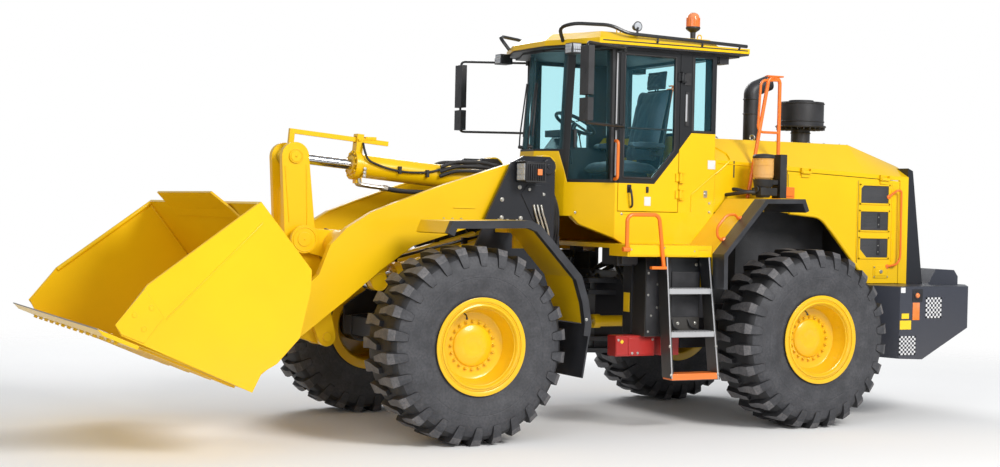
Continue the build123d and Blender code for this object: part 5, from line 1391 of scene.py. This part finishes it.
def add_gland(mesh, line, end, radius, y, wall=0.050):
    """Bolted end of a cylinder barrel with a wiper ring."""
    start = along(*line, end - wall, 0, y)
    stop = along(*line, end - 0.001, 0, y)
    axis = (stop - start).normalized()
    add_round(mesh, start, stop, radius, 40)
    add_round(mesh, stop, stop + axis * 0.012, radius * 0.62, 32)
    side = axis.cross(Vector((0, 1, 0))).normalized()
    across = axis.cross(side)
    for index in range(12):
        angle = index * math.pi / 6
        spot = stop + (side * math.cos(angle) + across * math.sin(angle)) * radius * 0.84
        add_bolts(mesh, [spot], axis, 0.010, 0.012)


mesh = bmesh.new()
add_gland(mesh, tilt_line, 1.396, 0.126, 0.0)
add_ring(mesh, along(*tilt_line, 0.12, 0, 0), along(*tilt_line, 1, 0, 0) - along(*tilt_line, 0, 0, 0),
         0.100, 0.008, 36)
for height, y in ((0.216, 0.062), (0.216, -0.062)):
    add_round(mesh, along(*tilt_line, 1.365, height, y * 0.7), along(*tilt_line, 1.365, height, y),
              0.014, 12)
add_box(mesh, along(*tilt_line, 1.20, 0.232, -0.025), along(*tilt_line, 1.30, 0.250, 0.025))
add_box(mesh, along(*tilt_line, 1.30, -0.150, -0.035), along(*tilt_line, 1.36, -0.100, 0.035))
finish_piece("tilt_gland_and_ports", mesh, yellow_paint, "tilt_barrel", bevel=0.002)
mesh = bmesh.new()
for side in (1, -1):
    add_pipe(mesh, [along(*tilt_line, 1.33, 0.19, side * 0.050),
                    along(*tilt_line, 1.33, 0.14, side * 0.085),
                    along(*tilt_line, 1.30, 0.045, side * 0.118),
                    along(*tilt_line, 1.13, 0.00, side * 0.116),
                    along(*tilt_line, 0.94, -0.015, side * 0.114),
                    along(*tilt_line, 0.72, 0.01, side * 0.114),
                    along(*tilt_line, 0.55, 0.075, side * 0.108),
                    along(*tilt_line, 0.30, 0.10, side * 0.110),
                    along(*tilt_line, 0.05, 0.14, side * 0.10)], 0.010, 0.08, 8)
    for y, height in ((0.150, 0.05), (0.175, 0.09), (0.150, 0.13)):
        add_pipe(mesh, [along(*tilt_line, 0.62, height - 0.06, side * 0.122),
                        along(*tilt_line, 0.50, height, side * y),
                        along(*tilt_line, 0.25, height + 0.03, side * y),
                        along(*tilt_line, 0.00, height, side * (y + 0.02)),
                        along(*tilt_line, -0.06, height - 0.05, side * (y + 0.02))], 0.015, 0.12)
    add_pipe(mesh, [along(*tilt_line, 1.08, -0.165, side * 0.035),
                    along(*tilt_line, 0.92, -0.175, side * 0.04),
                    along(*tilt_line, 0.60, -0.150, side * 0.045),
                    along(*tilt_line, 0.22, -0.160, side * 0.05)], 0.019, 0.12)
    for distance in (0.72, 0.98):
        add_box(mesh, along(*tilt_line, distance, -0.030, side * 0.098),
                along(*tilt_line, distance + 0.03, 0.030, side * 0.128))
finish_piece("tilt_cylinder_hoses", mesh, hose_rubber, "tilt_barrel")
mesh = bmesh.new()
for side in (1, -1):
    add_pipe(mesh, [along(*tilt_line, 1.33, -0.110, side * 0.035),
                    along(*tilt_line, 1.32, -0.160, side * 0.035),
                    along(*tilt_line, 1.20, -0.165, side * 0.035),
                    along(*tilt_line, 1.07, -0.165, side * 0.035)], 0.017, 0.04)
    add_round(mesh, along(*tilt_line, 1.10, -0.165, side * 0.035),
              along(*tilt_line, 1.06, -0.166, side * 0.036), 0.024, 6)
    add_bolts(mesh, [along(*tilt_line, 1.315, height, side * 0.114) for height in (-0.03, -0.06, -0.09)],
              (0, side, 0), 0.011, 0.010)
finish_piece("tilt_cylinder_fittings", mesh, zinc_steel, "tilt_barrel")
for side_name, side in sides:
    mesh = bmesh.new()
    add_gland(mesh, lift_line, 1.181, 0.106, side * 0.285, 0.045)
    finish_piece(f"lift_gland_{side_name}", mesh, yellow_paint, "lift_barrels", bevel=0.002)
    mesh = bmesh.new()
    add_pipe(mesh, [along(*lift_line, 1.13, 0.095, side * 0.285),
                    along(*lift_line, 1.12, 0.135, side * 0.285),
                    along(*lift_line, 0.90, 0.130, side * 0.285),
                    along(*lift_line, 0.30, 0.115, side * 0.285),
                    along(*lift_line, 0.12, 0.14, side * 0.285)], 0.013, 0.05)
    add_pipe(mesh, [along(*lift_line, 0.14, 0.08, side * 0.310),
                    along(*lift_line, 0.13, 0.13, side * 0.320),
                    along(*lift_line, 0.02, 0.15, side * 0.320)], 0.016, 0.04)
    for distance in (0.45, 0.80):
        add_box(mesh, along(*lift_line, distance, 0.080, side * 0.265),
                along(*lift_line, distance + 0.03, 0.145, side * 0.305))
    finish_piece(f"lift_cylinder_pipes_{side_name}", mesh, black_paint, "lift_barrels")

# ---------------------------------------------------------------- bucket
tip_x, tip_z = 4.736, 0.988
heel_x, heel_z = 3.600, 0.512
tip = Vector((tip_x, 0, tip_z))
edge_angle = math.atan2(tip_z - heel_z, tip_x - heel_x)
edge_along = Vector((math.cos(edge_angle), 0, math.sin(edge_angle)))
edge_up = Vector((-math.sin(edge_angle), 0, math.cos(edge_angle)))


def on_edge(back, up, y):
    """Point on the cutting edge, measured back from its tip and up from its top face."""
    point = tip - edge_along * back + edge_up * up
    return at(point.x, y, point.z)


mesh = bmesh.new()
for index in range(14):
    y = -1.37 + index * 2.74 / 13
    add_round(mesh, on_edge(0.15, 0.001, y), on_edge(0.15, 0.009, y), 0.021, 16, 0.015)
    add_round(mesh, on_edge(0.20, -0.030, y), on_edge(0.20, -0.050, y), 0.017, 6)
    add_round(mesh, on_edge(0.20, -0.030, y), on_edge(0.20, -0.034, y), 0.024, 16)
turn = Matrix((edge_along, (0, 1, 0), edge_up)).transposed().to_4x4()
heel_turn = Matrix.Translation(at(heel_x, 0, heel_z)) @ turn
for y in (-1.15, -0.575, 0.0, 0.575, 1.15):
    add_box(mesh, (0.04, y - 0.09, -0.018), (0.86, y + 0.09, 0.001), heel_turn)
for y in (-0.93, -0.31, 0.31, 0.93):
    add_plate(mesh,
              [(at(x, 0, 0).x, z)
               for x, z in ((3.420, 0.706), (3.254, 0.900), (3.170, 1.235), (3.168, 1.380), (3.145, 1.380),
                            (3.130, 1.210), (3.215, 0.880), (3.380, 0.690))], y - 0.012, y + 0.012)
add_pipe(mesh, [at(3.172, -1.44, 1.42), at(3.172, 1.44, 1.42)], 0.016, 0.01)
for place in both_places:
    cutter = ((4.606, 1.012), (4.400, 1.262), (4.257, 1.062), (4.398, 0.878), (4.560, 0.945))
    add_plate(mesh, [(at(x, 0, 0).x, z) for x, z in cutter],
              *sorted((place(0, 1.4895, 0).y, place(0, 1.4955, 0).y)))
    for x, z in ((4.35, 1.13), (4.40, 0.98), (4.47, 1.08)):
        add_round(mesh, place(x, 1.4950, z), place(x, 1.4990, z), 0.020, 6)
    add_pipe(mesh, [place(3.534, 1.4900, 1.745), place(4.240, 1.4900, 1.050)], 0.006, 0.01, 8)
    add_pipe(mesh, [place(3.56, 1.4675, 1.872), place(4.37, 1.4675, 1.276)], 0.020, 0.01)
    add_pipe(mesh, [place(3.26, 1.4640, 0.925), place(3.20, 1.4640, 1.24), place(3.20, 1.4640, 1.39),
                    place(3.56, 1.4640, 1.86)], 0.008, 0.05, 8)
    add_plate(mesh,
              [(at(x, 0, 0).x, z)
               for x, z in ((3.30, 1.02), (3.19, 1.18), (3.19, 1.33), (3.24, 1.33), (3.26, 1.20))],
              *sorted((place(0, 0.60, 0).y, place(0, 0.575, 0).y)))
finish_piece("bucket_edge_cutters_and_ribs", mesh, yellow_paint, "bucket", bevel=0.002)
mesh = bmesh.new()
add_box(mesh, (-0.085, -1.498, -0.006), (-0.004, 1.498, 0.0035),
        Matrix.Translation(at(tip.x, 0, tip.z)) @ turn)
finish_piece("bucket_edge_wear", mesh, worn_steel, "bucket", bevel=0.001)

# ---------------------------------------------------------------- under the frame
mesh = bmesh.new()
add_round(mesh, at(-0.95, 0, 0.90), at(-0.20, 0, 0.86), 0.045, 20)
for x in (-0.93, -0.26):
    add_ring(mesh, at(x, 0, 0.90 if x < -0.5 else 0.863), (1, 0, 0), 0.058, 0.018, 20)
finish_piece("rear_drive_shaft", mesh, cast_iron, "rear_frame")
mesh = bmesh.new()
for side in (1, -1):
    for x in (-1.85, -1.51):
        add_bolts(mesh, [at(x, side * 0.30, 0.9305), at(x, side * 0.36, 0.9305)], (0, 0, 1), 0.022, 0.020)
finish_piece("rear_axle_bolts", mesh, worn_steel, "rear_frame")


# ---------------------------------------------------------------- floor, light and camera
def build_stage():
    """Plain pale floor, soft lights and a white surround."""
    floor = bmesh.new()
    bmesh.ops.create_grid(floor, x_segments=2, y_segments=2, size=60)
    data = bpy.data.meshes.new("studio_floor")
    floor.to_mesh(data)
    floor.free()
    material, tree, shader = new_material("studio_floor")
    speck = add_node(tree, "ShaderNodeTexNoise",
                     {"Vector": object_place(tree), "Scale": 0.4, "Detail": 2.0})
    tone = add_ramp(tree, speck.outputs[0], [(0.0, (0.86, 0.86, 0.86, 1)), (1.0, (0.90, 0.90, 0.90, 1))])
    tree.links.new(tone, shader.inputs["Base Color"])
    reach = add_node(tree, "ShaderNodeVectorMath", {0: object_place(tree)}, operation="LENGTH")
    fade = add_node(tree, "ShaderNodeMapRange",
                    {"Value": reach.outputs["Value"],
                     "From Min": 5.5, "From Max": 12.0, "To Min": 1.0, "To Max": 0.0},
                    interpolation_type="SMOOTHSTEP")
    tree.links.new(fade.outputs[0], shader.inputs["Alpha"])
    shader.inputs["Roughness"].default_value = 0.9
    data.materials.append(material)
    piece = bpy.data.objects.new("studio_floor", data)
    scene.collection.objects.link(piece)

    world = bpy.data.worlds.new("studio_surround")
    world.use_nodes = True
    scene.world = world
    tree = world.node_tree
    tree.nodes.clear()
    path = tree.nodes.new("ShaderNodeLightPath")
    seen = add_node(tree, "ShaderNodeBackground", {"Color": (1, 1, 1, 1), "Strength": 1.0})
    soft = add_node(tree, "ShaderNodeBackground", {"Color": (0.93, 0.96, 1.0, 1), "Strength": 0.50})
    mix = add_node(tree, "ShaderNodeMixShader", {0: path.outputs["Is Camera Ray"], 1: soft.outputs[0],
                                                 2: seen.outputs[0]})
    out = tree.nodes.new("ShaderNodeOutputWorld")
    tree.links.new(mix.outputs[0], out.inputs[0])


def add_light(name, place, target, size, power, colour=(1, 1, 1)):
    data = bpy.data.lights.new(name, "AREA")
    data.shape = "DISK"
    data.size = size
    data.energy = power
    data.color = colour
    lamp = bpy.data.objects.new(name, data)
    lamp.location = place
    lamp.rotation_euler = (Vector(target) - Vector(place)).to_track_quat("-Z", "Y").to_euler()
    scene.collection.objects.link(lamp)


build_stage()
add_light("key_light", (-3.0, 14.0, 10.0), (0, 0, 1), 6.0, 2100, (1.0, 0.98, 0.95))
add_light("fill_light", (9.0, 10.0, 6.0), (0, 0, 1), 8.0, 420)
add_light("back_light", (-3.0, -11.0, 9.0), (0, 0, 1.5), 7.0, 900)

# Eye point and view directions of the main view.
eye_point = Vector((7.0152, 12.7922, 1.8799))
view_yaw = 0.479920
view_pitch = -0.014608
view_roll = 0.022502
ahead = Vector((-math.sin(view_yaw) * math.cos(view_pitch), -math.cos(view_yaw) * math.cos(view_pitch),
                math.sin(view_pitch)))
level = Vector((-math.cos(view_yaw), math.sin(view_yaw), 0))
upward = level.cross(ahead)
right = level * math.cos(view_roll) + upward * math.sin(view_roll)
above = upward * math.cos(view_roll) - level * math.sin(view_roll)
camera_data = bpy.data.cameras.new("main_camera")
camera_data.sensor_width = 36
camera_data.lens = 58.33
camera = bpy.data.objects.new("main_camera", camera_data)
axes = Matrix((right, above, -ahead)).transposed().to_4x4()
camera.matrix_world = Matrix.Translation(eye_point) @ axes
scene.collection.objects.link(camera)
scene.camera = camera
scene.view_settings.view_transform = "Standard"

bpy.context.view_layer.update()
